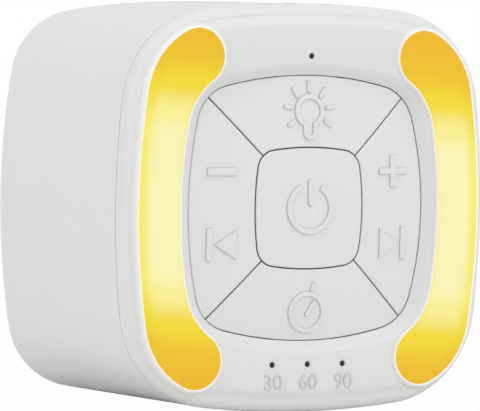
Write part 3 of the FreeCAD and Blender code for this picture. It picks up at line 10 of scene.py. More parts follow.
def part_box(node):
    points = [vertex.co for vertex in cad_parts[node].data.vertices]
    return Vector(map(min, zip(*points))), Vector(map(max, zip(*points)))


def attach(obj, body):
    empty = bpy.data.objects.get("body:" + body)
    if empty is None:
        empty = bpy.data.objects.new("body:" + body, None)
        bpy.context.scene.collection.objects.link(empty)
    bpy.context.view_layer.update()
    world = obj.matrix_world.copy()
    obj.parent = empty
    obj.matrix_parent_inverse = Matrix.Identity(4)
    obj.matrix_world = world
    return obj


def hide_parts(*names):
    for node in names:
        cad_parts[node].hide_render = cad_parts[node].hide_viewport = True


bl_info = {
    "name": "White Noise Sound Machine",
    "version": (1, 0, 0),
    "blender": (4, 5, 0),
    "location": "View3D > Sidebar > Sound Machine",
    "description": "Dresses the sound machine: bezel, light windows, keys, numerals, speaker and stage",
    "category": "Object",
}

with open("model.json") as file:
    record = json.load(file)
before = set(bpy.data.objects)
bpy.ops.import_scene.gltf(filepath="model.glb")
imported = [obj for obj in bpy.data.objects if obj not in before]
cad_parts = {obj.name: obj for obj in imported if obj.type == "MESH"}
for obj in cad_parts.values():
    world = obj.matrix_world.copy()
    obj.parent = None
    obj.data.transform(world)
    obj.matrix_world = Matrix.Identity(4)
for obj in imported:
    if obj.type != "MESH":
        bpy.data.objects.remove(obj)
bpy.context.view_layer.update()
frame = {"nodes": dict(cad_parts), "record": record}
MM = 0.001

# The front plane and the height of the middle of the front face.
FRONT_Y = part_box("front_housing")[0].y
MIDDLE_Z = (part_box("power_button")[0].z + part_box("power_button")[1].z) / 2

# Outlines seen from the front, in millimetres: half width, radius of the bulging sides and corner radius.
# The box is slightly smaller and rounder at its front plane than at its back.
CAD_SHAPE = (44.5, 135.0, 15.0)
FRONT_SHAPE = (44.0, 204.0, 22.5)
BACK_SHAPE = (44.5, 172.0, 15.7)
KEY_SHAPE = (28.6, 80.0, 9.5)
POWER_SHAPE = (12.95, 60.0, 4.2)
WINDOW_OUTER = (41.3, 163.0, 16.5)
WINDOW_INNER = (31.6, 101.0, 14.9)

# Degrees round a window's outer corner at which its round end starts.
WINDOW_CLOSING = 64.4

# Depths behind the front plane, in millimetres.
FACE_WALL = 2.2
WINDOW_LEDGE = 1.5
KEY_BACK = 3.6
SEAM_DEPTH = 5.4
LIP_DEPTH = 8.0
SPEAKER_DEPTH = 39.5
BODY_DEPTH = 69.2

# Other sizes in millimetres.
KEY_GAP = 0.25
FIELD_GAP = 0.07
CROWN_RADIUS = 230.0
SEAM_BEVEL = 0.12
LIP_OUTSIDE, LIP_INSIDE = 1.9, 2.8
WALL_INSIDE, WALL_BLEND = 2.2, 2.3
INDICATOR_HOLES = ((0.0, 32.7), (-8.6, -33.6), (0.0, -33.6), (8.6, -33.6))
HOLE_RADIUS, HOLE_FLARE, HOLE_MOUTH = 0.65, 0.3, 0.2
NOTCH_X, NOTCH_WIDTH, NOTCH_LENGTH, NOTCH_FLOOR = 4.1, 2.8, 3.2, 42.9
BOSS_X, BOSS_Z, BOSS_RADIUS, BOSS_LENGTH = 12.4, 33.4, 2.0, 6.8
POST_X, POST_Z, POST_RADIUS, POST_LENGTH = 17.5, -34.8, 2.75, 26.0
BORE_RADIUS, BORE_LENGTH, FOOT_FLARE = 1.02, 14.0, 0.5
HOOK_X, HOOK_HALF_WIDTH = 11.0, 3.0
RIM_STEPS, RIM_CREST = 14, 0.86
LENS_PROUD, LENS_GAP, LENS_CROWN_WIDTH = 0.78, 0.08, 4.5
SYMBOL_RISE, SYMBOL_SOFT = 0.36, 0.30
NUMERAL_RISE, NUMERAL_SOFT, NUMERAL_LINE = 0.14, 0.09, -39.0
# Faces of the black strips of painted shade in the gaps beside the slanting key sides.
GAP_SHADE_INSIDE, GAP_SHADE_OUTSIDE = 0.04, 0.145

# Height of a numeral as a share of its text size.
CAPITAL_SHARE = 0.70

# The pale middle of the windows' light sits slightly higher on the left than on the right.
GLOW_LEAN, GLOW_SHIFT, GLOW_REACH = 0.065, 0.0010, 0.039

# How much of its own light colour a window shows as surface colour, and how far its edges look deeper.
GLOW_BASE = 0.55
DEEP_OUTER, DEEP_INNER, DEEP_INNER_SHARE = 3.6, 1.1, 0.45

# Painted glow on a window's rim at its crest, standing in for the window's light falling on it, and painted
# shade on the edges of the raised signs.
RIM_PAINTED_GLOW = (0.24, 0.23, 0.16, 1)
SYMBOL_PAINTED_SHADE = (0.40, 0.40, 0.405)
NUMERAL_TOP, NUMERAL_PAINTED_SHADE = (0.66, 0.66, 0.665), (0.22, 0.22, 0.23)

# Half the length of a battery sleeve with its bare ends.
CELL_HALF_LENGTH = 0.0262

# Studio lamps: name, place, width and power. They all point at the middle of the box.
LAMPS = (("left softbox", (-0.95, 0.0, 0.30), 0.5, 1.0),
         ("front softbox", (0.45, -0.95, 0.75), 0.35, 2.0),
         ("top softbox", (0.0, -0.35, 1.1), 0.4, 1.2))
LAMP_TARGET = Vector((0, 0, 0.045))
ROOM_LIGHT = 0.82
FLOOR_WHITE = 0.97

# The camera: degrees round, above and rolled, what it looks at, how far off it is, its lens and its shift.
CAMERA_YAW, CAMERA_PITCH, CAMERA_ROLL = 27.777, 2.162, 0.784
CAMERA_TARGET, CAMERA_DISTANCE = Vector((0, 0.0018, 0.0446)), 1.001
CAMERA_LENS, CAMERA_SHIFT = 338.3, (0.0164, -0.0081)

# Speaker diaphragm: radius and height above the middle, from the dust cap out over the surround and back.
DIAPHRAGM = ((0.02, 34.9), (1.5, 34.8), (3.2, 34.4), (4.8, 33.7), (6.2, 32.6), (7.0, 31.6),
             (9.0, 33.0), (11.5, 34.9), (14.0, 36.9), (15.6, 38.1), (16.2, 38.4),
             (16.8, 38.95), (17.6, 39.2), (18.4, 38.95), (19.0, 38.4), (19.5, 38.3), (19.5, 38.1),
             (18.9, 38.1), (18.3, 38.5), (17.6, 38.7), (16.9, 38.5), (16.3, 38.0), (15.6, 37.7),
             (11.5, 34.5), (9.0, 32.6), (7.0, 31.2), (6.0, 32.2), (4.6, 33.3), (3.0, 34.0), (0.02, 34.5))

# Plain finishes: material slot, name, colour, roughness and what else sets it apart.
FINISHES = (("light_box", "reflector white", (0.9, 0.9, 0.88), 0.6, {}),
            ("light_board", "white circuit board", (0.85, 0.85, 0.82), 0.45, {}),
            ("lamp", "lamp gel", (0.95, 0.85, 0.35), 0.25, {}),
            # The light pipes are near black: painted shade that makes the indicator holes look dark.
            ("light_pipe", "light pipe painted hole shade", (0.003, 0.003, 0.003), 0.35, {}),
            ("frame", "black plastic", (0.035, 0.035, 0.037), 0.5, {}),
            ("silicone", "silicone", (0.52, 0.52, 0.50), 0.6, {}),
            ("foot", "foot rubber", (0.55, 0.55, 0.54), 0.7, {}),
            ("steel", "steel", (0.55, 0.55, 0.56), 0.3, {"metallic": 1.0, "grain_size": 900.0}),
            ("contact", "nickel", (0.72, 0.69, 0.64), 0.22, {"metallic": 1.0}),
            ("board", "green circuit board", (0.01, 0.11, 0.035), 0.35, {"cloud": 0.3, "coat": 0.3}),
            ("switch", "switch plastic", (0.02, 0.02, 0.02), 0.4, {}),
            ("chip", "chip resin", (0.015, 0.015, 0.016), 0.55, {}),
            ("can", "capacitor sleeve", (0.05, 0.07, 0.16), 0.35, {}),
            ("socket", "socket nylon", (0.78, 0.74, 0.62), 0.5, {}),
            ("basket", "basket paint", (0.012, 0.012, 0.012), 0.45, {}),
            ("cone", "cone paper", (0.018, 0.017, 0.016), 0.75, {"grain_size": 1400.0, "grain_depth": 0.8}),
            ("magnet", "ferrite", (0.03, 0.03, 0.032), 0.6, {}),
            ("gasket", "foam", (0.02, 0.02, 0.02), 0.9, {"grain_size": 900.0, "grain_depth": 1.0}),
            ("wire", "wire insulation", (0.42, 0.012, 0.012), 0.4, {}))

# Finishes by material slot, filled by make_materials.
MATERIALS = {}


# Outlines seen from the front: x to the right and z up, in millimetres from the middle


def corner_centre(half, side, corner):
    """How far along its diagonal, across and up, the centre of a bulging square's corner arc lies."""
    side_centre = side - half
    reach = (side - corner) ** 2
    return (math.sqrt(8 * reach - 4 * side_centre ** 2) - 2 * side_centre) / 4


def arc_points(x, z, radius, start, end, count):
    """Points along an arc without its last one."""
    angles = [start + (end - start) * step / count for step in range(count)]
    return [(x + radius * math.cos(angle), z + radius * math.sin(angle)) for angle in angles]


def rounded_square(shape, grown=0.0, side_count=18, corner_count=16):
    """Anticlockwise ring of a bulging square; shape is half width, side radius and corner radius."""
    half, side, corner = shape
    centre = corner_centre(half, side, corner)
    side_centre = side - half
    blend = math.atan2(centre, centre + side_centre)
    points = []
    for quarter in range(4):
        turn = quarter * math.pi / 2
        across, up = math.cos(turn), math.sin(turn)
        points += arc_points(-side_centre * across, -side_centre * up, side + grown,
                             turn - blend, turn + blend, side_count)
        x, z = centre * (across - up), centre * (across + up)
        points += arc_points(x, z, corner + grown, turn + blend, turn + math.pi / 2 - blend, corner_count)
    return points


def inside_distance(shape, x, z):
    """How far a point lies inside a bulging square's edge."""
    half, side, corner = shape
    centre = corner_centre(half, side, corner)
    side_centre = side - half
    x, z = max(abs(x), abs(z)), min(abs(x), abs(z))
    blend = math.atan2(centre, centre + side_centre)
    if math.atan2(z, x + side_centre) <= blend:
        return side - math.hypot(x + side_centre, z)
    return corner - math.hypot(x - centre, z - centre)


def window_ring(side, inset):
    """Ring of a light window's outline, drawn in from its edge by inset."""
    outer_half, outer_side, outer_corner = [value - inset for value in WINDOW_OUTER]
    inner_half, inner_side, inner_corner = [value + inset for value in WINDOW_INNER]
    outer_centre, inner_centre = corner_centre(*WINDOW_OUTER), corner_centre(*WINDOW_INNER)
    outer_blend = math.atan2(outer_centre, outer_centre + outer_side - outer_half)
    inner_blend = math.atan2(inner_centre, inner_centre + inner_side - inner_half)
    closing = math.radians(WINDOW_CLOSING)
    apart = outer_centre - inner_centre
    along = apart * (math.cos(closing) + math.sin(closing))
    cap = (2 * apart ** 2 + 2 * outer_corner * along + outer_corner ** 2 - inner_corner ** 2) / (
        2 * (along + outer_corner + inner_corner))
    cap_x = outer_centre + (outer_corner - cap) * math.cos(closing)
    cap_z = outer_centre + (outer_corner - cap) * math.sin(closing)
    meeting = math.atan2(cap_z - inner_centre, cap_x - inner_centre)
    points = arc_points(outer_half - outer_side, 0, outer_side, -outer_blend, outer_blend, 30)
    points += arc_points(outer_centre, outer_centre, outer_corner, outer_blend, closing, 16)
    points += arc_points(cap_x, cap_z, cap, closing, meeting + math.pi, 26)
    points += arc_points(inner_centre, inner_centre, inner_corner, meeting, inner_blend, 12)
    points += arc_points(inner_half - inner_side, 0, inner_side, inner_blend, -inner_blend, 24)
    points += arc_points(inner_centre, -inner_centre, inner_corner, -inner_blend, -meeting, 12)
    points += arc_points(cap_x, -cap_z, cap, math.pi - meeting, 2 * math.pi - closing, 26)
    points += arc_points(outer_centre, -outer_centre, outer_corner, -closing, -outer_blend, 16)
    if side < 0:
        points = [(-x, z) for x, z in reversed(points)]
    return points


def ease(share):
    share = min(max(share, 0.0), 1.0)
    return share * share * (3 - 2 * share)


def shape_at(depth):
    """The box's outline at a depth behind the front plane."""
    share = depth / BODY_DEPTH
    return tuple(front + (back - front) * share for front, back in zip(FRONT_SHAPE, BACK_SHAPE))


def edge_depth(inset):
    """Depth of the bezel's edge: a round, a narrow ledge and a soft shoulder up to the face."""
    sizes = bpy.context.scene.sound_machine_sizes
    round_edge, width, high = sizes.front_round / MM, sizes.shoulder_width / MM, sizes.shoulder_height / MM
    if inset >= round_edge:
        return high * (1 - ease((inset - round_edge) / width))
    return high + round_edge - math.sqrt(round_edge ** 2 - (round_edge - max(inset, 0.0)) ** 2)


def face_depth(x, z):
    """Depth of the bezel's surface outside the keys."""
    return edge_depth(inside_distance(FRONT_SHAPE, x, z))


def crown_depth(x, z):
    """Depth of the shallow dome that the keys share."""
    return CROWN_RADIUS - math.sqrt(CROWN_RADIUS ** 2 - x ** 2 - z ** 2)


def dished(share, foot):
    """Depth of the dish round the keys, from its foot at share 0 to its rim at share 1."""
    return foot * (1 - share) ** 1.6 * (1 + 0.6 * share)


# Modelling helpers


def to_world(x, depth, z):
    """World place of a point given in millimetres across, behind the front plane and above the middle."""
    return Vector((x * MM, FRONT_Y + depth * MM, MIDDLE_Z + z * MM))


def clear_selection():
    if bpy.context.object and bpy.context.object.mode != "OBJECT":
        bpy.ops.object.mode_set(mode="OBJECT")
    bpy.ops.object.select_all(action="DESELECT")


def set_active(piece):
    clear_selection()
    piece.select_set(True)
    bpy.context.view_layer.objects.active = piece


def place_key(point):
    """A vertex's place as a key to look it up by."""
    return tuple(round(value, 8) for value in point)


def ring_body(name, rings, ends="bridge"):
    """A body made by extruding a ring of vertices on from ring to ring.

    rings are lists of world points. ends is bridge, which joins the last ring to the first, or cap.
    """
    clear_selection()
    bpy.ops.mesh.primitive_circle_add(vertices=len(rings[0]), radius=1, fill_type="NOTHING")
    piece = bpy.context.object
    piece.name = name
    for vertex, point in zip(piece.data.vertices, rings[0]):
        vertex.co = point
    bpy.ops.object.mode_set(mode="EDIT")
    bpy.ops.mesh.select_all(action="SELECT")
    for before, ring in zip(rings, rings[1:]):
        bpy.ops.mesh.extrude_edges_move()
        mesh = bmesh.from_edit_mesh(piece.data)
        drawn_on = {place_key(vertex.co): vertex for vertex in mesh.verts if vertex.select}
        for start, point in zip(before, ring):
            drawn_on[place_key(start)].co = point
        bmesh.update_edit_mesh(piece.data)
    mesh = bmesh.from_edit_mesh(piece.data)
    if ends == "cap":
        bpy.ops.mesh.select_mode(type="EDGE")
    for edge in mesh.edges:
        edge.select = edge.is_boundary
    bmesh.update_edit_mesh(piece.data)
    if ends == "cap":
        bpy.ops.mesh.edge_face_add()
    else:
        bpy.ops.mesh.bridge_edge_loops()
    bpy.ops.mesh.select_all(action="SELECT")
    bpy.ops.mesh.normals_make_consistent(inside=False)
    bpy.ops.object.mode_set(mode="OBJECT")
    return piece


def level_rings(profile):
    """World rings from rows of outline points and their depth, or a depth for each point."""
    rings = []
    for points, depth in profile:
        depths = depth if isinstance(depth, list) else [depth] * len(points)
        rings.append([to_world(x, deep, z) for (x, z), deep in zip(points, depths)])
    return rings


def prism(name, points, front, back):
    """A closed upright prism, used to cut an opening."""
    return ring_body(name, level_rings([(points, front), (points, back)]), ends="cap")


def cut_away(piece, cutters):
    for cutter in cutters:
        set_active(piece)
        modifier = piece.modifiers.new("opening", "BOOLEAN")
        modifier.operation = "DIFFERENCE"
        modifier.solver = "EXACT"
        modifier.object = cutter
        bpy.ops.object.modifier_apply(modifier=modifier.name)
        bpy.data.objects.remove(cutter)


def smooth(piece, angle=35):
    set_active(piece)
    bpy.ops.object.shade_smooth_by_angle(angle=math.radians(angle))


def join(pieces, name):
    clear_selection()
    for piece in pieces:
        piece.select_set(True)
    bpy.context.view_layer.objects.active = pieces[0]
    bpy.ops.object.join()
    piece = bpy.context.object
    piece.name = name
    smooth(piece)
    return piece


def mark(piece, name, values):
    """Store a value from 0 to 1 on each vertex, looked up by its place."""
    attribute = piece.data.attributes.new(name, "FLOAT", "POINT")
    for index, vertex in enumerate(piece.data.vertices):
        attribute.data[index].value = values.get(place_key(vertex.co), 0.0)


def dress(piece, material, body):
    """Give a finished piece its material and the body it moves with."""
    piece.data.materials.clear()
    piece.data.materials.append(material)
    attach(piece, body)


def turned_body(name, profile, axis_depth, count=48):
    """A round body about an upright axis in the middle, from a profile of radius and height."""
    rings = []
    for radius, height in profile:
        circle = arc_points(0.0, axis_depth, radius, 0, 2 * math.pi, count)
        rings.append([to_world(x, depth, height) for x, depth in circle])
    return ring_body(name, rings)


# Materials


def new_material(name):
    material = bpy.data.materials.new(name)
    material.use_nodes = True
    return material, material.node_tree, material.node_tree.nodes["Principled BSDF"]


def feed(tree, socket, value):
    """Link an output to a socket, or set the socket to a plain value."""
    if isinstance(value, bpy.types.NodeSocket):
        tree.links.new(value, socket)
    else:
        socket.default_value = value


def add_math(tree, operation, *values):
    node = tree.nodes.new("ShaderNodeMath")
    node.operation = operation
    for socket, value in zip(node.inputs, values):
        feed(tree, socket, value)
    return node.outputs[0]


def add_scaled(tree, colour, amount):
    """A colour made lighter or darker by an amount."""
    node = tree.nodes.new("ShaderNodeVectorMath")
    node.operation = "SCALE"
    feed(tree, node.inputs[0], colour)
    feed(tree, node.inputs["Scale"], amount)
    return node.outputs[0]


def add_mix(tree, share_name, first, second):
    """A colour between two, by the share stored on the piece under a name."""
    share = tree.nodes.new("ShaderNodeAttribute")
    share.attribute_name = share_name
    node = tree.nodes.new("ShaderNodeMix")
    node.data_type = "RGBA"
    tree.links.new(share.outputs["Fac"], node.inputs["Factor"])
    feed(tree, node.inputs["A"], first)
    feed(tree, node.inputs["B"], second)
    return node.outputs["Result"]


def moulded_surface():
    """Shared node group: fine moulded grain and a faint cloudiness of colour."""
    name = "moulded surface"
    if name in bpy.data.node_groups:
        return bpy.data.node_groups[name]
    tree = bpy.data.node_groups.new(name, "ShaderNodeTree")
    face = tree.interface
    for label, kind, value in (("Colour", "NodeSocketColor", (0.8, 0.8, 0.8, 1)),
                               ("Cloud", "NodeSocketFloat", 0.02),
                               ("Grain Size", "NodeSocketFloat", 2500.0),
                               ("Grain Depth", "NodeSocketFloat", 0.02),
                               ("Roughness", "NodeSocketFloat", 0.5)):
        socket = face.new_socket(name=label, in_out="INPUT", socket_type=kind)
        socket.default_value = value
    for label, kind in (("Colour", "NodeSocketColor"), ("Roughness", "NodeSocketFloat"),
                        ("Normal", "NodeSocketVector")):
        face.new_socket(name=label, in_out="OUTPUT", socket_type=kind)
    nodes, links = tree.nodes, tree.links
    given, result = nodes.new("NodeGroupInput"), nodes.new("NodeGroupOutput")
    place = nodes.new("ShaderNodeTexCoord")
    clouds, grain = nodes.new("ShaderNodeTexNoise"), nodes.new("ShaderNodeTexNoise")
    clouds.inputs["Scale"].default_value = 45.0
    clouds.inputs["Detail"].default_value = 3.0
    grain.inputs["Detail"].default_value = 2.0
    links.new(place.outputs["Object"], clouds.inputs["Vector"])
    links.new(place.outputs["Object"], grain.inputs["Vector"])
    links.new(given.outputs["Grain Size"], grain.inputs["Scale"])
    cloudy = add_math(tree, "SUBTRACT", clouds.outputs["Fac"], 0.5)
    lightness = add_math(tree, "MULTIPLY_ADD", cloudy, given.outputs["Cloud"], 1.0)
    links.new(add_scaled(tree, given.outputs["Colour"], lightness), result.inputs["Colour"])
    rough = add_math(tree, "MULTIPLY_ADD", cloudy, 0.12, given.outputs["Roughness"])
    links.new(rough, result.inputs["Roughness"])
    bump = nodes.new("ShaderNodeBump")
    bump.inputs["Distance"].default_value = 0.00002
    links.new(given.outputs["Grain Depth"], bump.inputs["Strength"])
    links.new(grain.outputs["Fac"], bump.inputs["Height"])
    links.new(bump.outputs["Normal"], result.inputs["Normal"])
    return tree


def plain_finish(name, colour, roughness, metallic=0.0, grain_size=2500.0, grain_depth=0.3, cloud=0.03,
                 coat=0.0):
    """A moulded, painted or metal surface of one colour with its grain."""
    material, tree, shader = new_material(name)
    surface = tree.nodes.new("ShaderNodeGroup")
    surface.node_tree = moulded_surface()
    surface.inputs["Colour"].default_value = (*colour, 1)
    surface.inputs["Cloud"].default_value = cloud
    surface.inputs["Grain Size"].default_value = grain_size
    surface.inputs["Grain Depth"].default_value = grain_depth
    surface.inputs["Roughness"].default_value = roughness
    tree.links.new(surface.outputs["Colour"], shader.inputs["Base Color"])
    tree.links.new(surface.outputs["Roughness"], shader.inputs["Roughness"])
    tree.links.new(surface.outputs["Normal"], shader.inputs["Normal"])
    shader.inputs["Metallic"].default_value = metallic
    shader.inputs["Coat Weight"].default_value = coat
    return material


def fill_ramp(node, stops, interpolation="EASE"):
    ramp = node.color_ramp
    ramp.interpolation = interpolation
    while len(ramp.elements) < len(stops):
        ramp.elements.new(0.5)
    for element, (position, colour) in zip(ramp.elements, stops):
        element.position = position
        element.color = (*colour, 1)


def rim_finish(colours):
    """White plastic round a window with a painted glow towards its crest, standing in for the window's light
    falling on it and its highlight.
    """
    material = plain_finish("window rim plastic", tuple(colours.body_colour), 0.35)
    tree = material.node_tree
    shader = tree.nodes["Principled BSDF"]
    # Painted glow: the rim gives off a little light by the stored share, strongest at its crest.
    light = add_mix(tree, "shine", (0, 0, 0, 1), RIM_PAINTED_GLOW)
    tree.links.new(light, shader.inputs["Emission Color"])
    shader.inputs["Emission Strength"].default_value = 1.0
    return material


def symbol_finish(name, top, edge):
    """Plastic of a raised sign with painted shade on its edges."""
    material = plain_finish(name, top, 0.42)
    tree = material.node_tree
    shader = tree.nodes["Principled BSDF"]
    surface = next(node for node in tree.nodes if node.type == "GROUP")
    # Painted shade: the edge colour by the wall share stored on the piece.
    shaded = add_mix(tree, "wall", surface.outputs["Colour"], (*edge, 1))
    tree.links.new(shaded, shader.inputs["Base Color"])
    return material


def glow_finish(colours):
    """Lit window: pale in the middle, deeper yellow at its edges and amber at its ends."""
    material, tree, shader = new_material("lit window")
    nodes, links = tree.nodes, tree.links
    place = nodes.new("ShaderNodeTexCoord")
    split = nodes.new("ShaderNodeSeparateXYZ")
    links.new(place.outputs["Object"], split.inputs[0])
    lean = add_math(tree, "MULTIPLY_ADD", split.outputs["X"], GLOW_LEAN, GLOW_SHIFT - MIDDLE_Z)
    height = add_math(tree, "ADD", split.outputs["Z"], lean)
    share = add_math(tree, "DIVIDE", add_math(tree, "ABSOLUTE", height), GLOW_REACH)
    middle = nodes.new("ShaderNodeValToRGB")
    edge = nodes.new("ShaderNodeValToRGB")
    fill_ramp(middle, ((0.0, colours.glow_middle), (0.36, colours.glow_middle), (0.50, colours.glow_pale),
                       (0.66, colours.glow_yellow), (0.84, colours.glow_amber), (1.0, colours.glow_end)))
    fill_ramp(edge, ((0.0, colours.glow_border), (0.42, colours.glow_border), (0.60, colours.glow_yellow),
                     (0.80, colours.glow_amber), (1.0, colours.glow_end)))
    links.new(share, middle.inputs[0])
    links.new(share, edge.inputs[0])
    light = add_mix(tree, "deep", middle.outputs["Color"], edge.outputs["Color"])
    links.new(add_scaled(tree, light, GLOW_BASE), shader.inputs["Base Color"])
    links.new(light, shader.inputs["Emission Color"])
    shader.inputs["Emission Strength"].default_value = colours.glow_strength
    shader.inputs["Roughness"].default_value = 0.3
    shader.inputs["Specular IOR Level"].default_value = 0.25
    return material


def cell_finish():
    """Plain dark battery sleeve with bare steel ends."""
    material, tree, shader = new_material("battery sleeve")
    nodes, links = tree.nodes, tree.links
    place = nodes.new("ShaderNodeTexCoord")
    split = nodes.new("ShaderNodeSeparateXYZ")
    links.new(place.outputs["Object"], split.inputs[0])
    bands = nodes.new("ShaderNodeValToRGB")
    steel, sleeve = (0.6, 0.6, 0.6), (0.03, 0.03, 0.035)
    fill_ramp(bands, ((0.0, steel), (0.03, sleeve), (0.97, steel)), "CONSTANT")
    span = nodes.new("ShaderNodeMapRange")
    span.inputs["From Min"].default_value = -CELL_HALF_LENGTH
    span.inputs["From Max"].default_value = CELL_HALF_LENGTH
    links.new(split.outputs["X"], span.inputs["Value"])
    links.new(span.outputs["Result"], bands.inputs[0])
    links.new(bands.outputs["Color"], shader.inputs["Base Color"])
    shader.inputs["Roughness"].default_value = 0.32
    return material


# Sizes and colours that a user would change


def colour_property(name, description, default):
    return FloatVectorProperty(name=name, description=description, default=default, subtype="COLOR",
                               size=3, min=0.0, max=1.0)


def length_property(name, description, default):
    return FloatProperty(name=name, description=description, default=default, unit="LENGTH",
                         subtype="DISTANCE", min=0.0)


class SoundMachineSizes(bpy.types.PropertyGroup):
    front_round: length_property("Front Edge", "Rounding of the bezel's front edge", 0.0024)
    shoulder_width: length_property("Shoulder Width", "Soft step from that edge up to the face", 0.0024)
    shoulder_height: length_property("Shoulder Height", "Height of that step", 0.0008)
    dish_width: length_property("Dish Width", "Width of the dish round the keys", 0.0026)
    seam_gap: length_property("Seam", "Width of the parting line round the body", 0.00014)
    rim_width: length_property("Rim Width", "Raised rim round each light window", 0.0012)
    rim_height: length_property("Rim Height", "Height of that rim in front of the bezel", 0.0006)
    numeral_height: length_property("Numeral Height", "Height of the timer numerals", 0.0033)


class SoundMachineColours(bpy.types.PropertyGroup):
    body_colour: colour_property("Body", "Plastic of the housings", (0.765, 0.765, 0.765))
    key_colour: colour_property("Keys", "Plastic of the keys", (0.775, 0.775, 0.77))
    glow_middle: colour_property("Glow Middle", "Palest part of a lit window", (0.965, 0.922, 0.48))
    glow_pale: colour_property("Glow Pale", "Towards the middle", (0.96, 0.87, 0.30))
    glow_border: colour_property("Glow Border", "Border of a lit window", (0.947, 0.839, 0.14))
    glow_yellow: colour_property("Glow Yellow", "Between the middle and the ends", (0.905, 0.71, 0.035))
    glow_amber: colour_property("Glow Amber", "Towards the ends of a window", (0.875, 0.54, 0.022))
    glow_end: colour_property("Glow End", "Ends of a lit window", (0.87, 0.49, 0.022))
    glow_strength: FloatProperty(name="Glow", description="How brightly the windows shine", default=0.45,
                                 min=0.0, max=4.0)


# Pieces


class BuildBezel(bpy.types.Operator):
    """Front housing: face, dish round the keys, rounded edge, lip, openings, posts and hooks"""

    bl_idname = "sound_machine.bezel"
    bl_label = "Bezel"

    def execute(self, context):
        bezel = ring_body("bezel", level_rings(bezel_profile(context.scene.sound_machine_sizes)))
        cut_away(bezel, bezel_cutters())
        smooth(bezel)
        boss_places = [(x, z) for x in (-BOSS_X, BOSS_X) for z in (-BOSS_Z, BOSS_Z)]
        post_places = [(x, POST_Z) for x in (-POST_X, POST_X)]
        for piece in (bezel, build_posts("frame_bosses", boss_places, BOSS_RADIUS, BOSS_LENGTH),
                      build_posts("housing_posts", post_places, POST_RADIUS, POST_LENGTH), build_hooks()):
            dress(piece, MATERIALS["body"], "housing")
            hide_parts("front_housing")
        return {"FINISHED"}


def bezel_profile(sizes):
    """Outlines and depths from the key opening out over the face, round the edge and back inside."""
    round_edge, dish, shoulder = sizes.front_round / MM, sizes.dish_width / MM, sizes.shoulder_width / MM
    foot = rounded_square(KEY_SHAPE, FIELD_GAP)
    feet = [crown_depth(x, z) - 0.05 for x, z in foot]
    profile = [(foot, [max(FACE_WALL, deep + 0.5) for deep in feet])]
    for share in (0.0, 0.06, 0.15, 0.28, 0.42, 0.56, 0.70, 0.84, 1.0):
        ring = rounded_square(KEY_SHAPE, FIELD_GAP + dish * share)
        profile.append((ring, [dished(share, deep) for deep in feet]))
    insets = [round_edge + shoulder * share for share in (1.4, 1.0, 0.85, 0.7, 0.55, 0.4, 0.25, 0.1, 0.0)]
    insets += [round_edge * (1 - math.sin(math.radians(angle))) for angle in range(10, 91, 8)]
    for inset in insets:
        depth = edge_depth(inset)
        profile.append((rounded_square(shape_at(depth), -inset), depth))
    seam = SEAM_DEPTH - sizes.seam_gap / MM
    for inset, depth in ((0.0, seam - SEAM_BEVEL), (SEAM_BEVEL, seam), (LIP_OUTSIDE, seam),
                         (LIP_OUTSIDE, LIP_DEPTH), (LIP_INSIDE, LIP_DEPTH), (LIP_INSIDE, FACE_WALL)):
        profile.append((rounded_square(shape_at(seam), -inset), depth))
    return profile


def bezel_cutters():
    """Solids that open the bezel for the windows, the indicators and the two notches at its top."""
    before, behind = -3.0, 3.0
    cutters = []
    for side in (-1, 1):
        cutters.append(prism("ledge_cutter", rim_ring(side, RIM_CREST), before, WINDOW_LEDGE))
        cutters.append(prism("window_cutter", window_ring(side, 0.0), before, behind))
    for x, z in INDICATOR_HOLES:
        cutters.append(hole_cutter(x, z))
    for side in (-1, 1):
        x, half, top = side * NOTCH_X, NOTCH_WIDTH / 2, 50.0
        outline = [(x - half, NOTCH_FLOOR), (x + half, NOTCH_FLOOR), (x + half, top), (x - half, top)]
        cutters.append(prism("notch_cutter", outline, SEAM_DEPTH - NOTCH_LENGTH, SEAM_DEPTH + 1.0))
    return cutters


def hole_cutter(x, z):
    """A straight pin with a slightly flared mouth."""
    mouth = HOLE_RADIUS + HOLE_FLARE
    profile = []
    for radius, depth in ((mouth, -1.0), (mouth, -0.05), (HOLE_RADIUS, HOLE_MOUTH), (HOLE_RADIUS, 3.0)):
        profile.append((arc_points(x, z, radius, 0, 2 * math.pi, 32), depth))
    return ring_body("hole_cutter", level_rings(profile), ends="cap")


def build_posts(name, places, radius, length):
    """Hollow screw posts behind the face, each widened at its foot."""
    rows = ((radius + FOOT_FLARE, FACE_WALL - 0.3), (radius, FACE_WALL + 0.8), (radius, length - 0.2),
            (radius - 0.2, length), (BORE_RADIUS, length), (BORE_RADIUS, max(length - BORE_LENGTH, 2.9)))
    posts = []
    for x, z in places:
        profile = [(arc_points(x, z, wide, 0, 2 * math.pi, 32), depth) for wide, depth in rows]
        posts.append(ring_body(name, level_rings(profile), ends="cap"))
    return join(posts, name)


def build_hooks():
    """Two snap hooks that reach back into the rear housing."""
    low = 40.8
    rows = ((6.7, 41.7), (10.6, 41.7), (10.8, 42.6), (11.5, 42.4), (12.2, 41.6))
    hooks = []
    for side in (-1, 1):
        left, right = side * HOOK_X - HOOK_HALF_WIDTH, side * HOOK_X + HOOK_HALF_WIDTH
        profile = [([(left, low), (right, low), (right, high), (left, high)], depth) for depth, high in rows]
        hooks.append(ring_body("snap_hook", level_rings(profile), ends="cap"))
    return join(hooks, "snap_hooks")


def rim_ring(side, share):
    """Ring between a window's edge and the foot of its rim, which is wider towards the box's side."""
    width = bpy.context.scene.sound_machine_sizes.rim_width / MM
    ring = []
    for (x, z), (far_x, far_z) in zip(window_ring(side, 0.0), window_ring(side, -width)):
        outward = max(inside_distance(WINDOW_OUTER, x, z), 0.0)
        inward = max(-inside_distance(WINDOW_INNER, x, z), 0.0)
        part = share * (0.6 + 0.4 * inward / (inward + outward + 0.01))
        ring.append((x + (far_x - x) * part, z + (far_z - z) * part))
    return ring


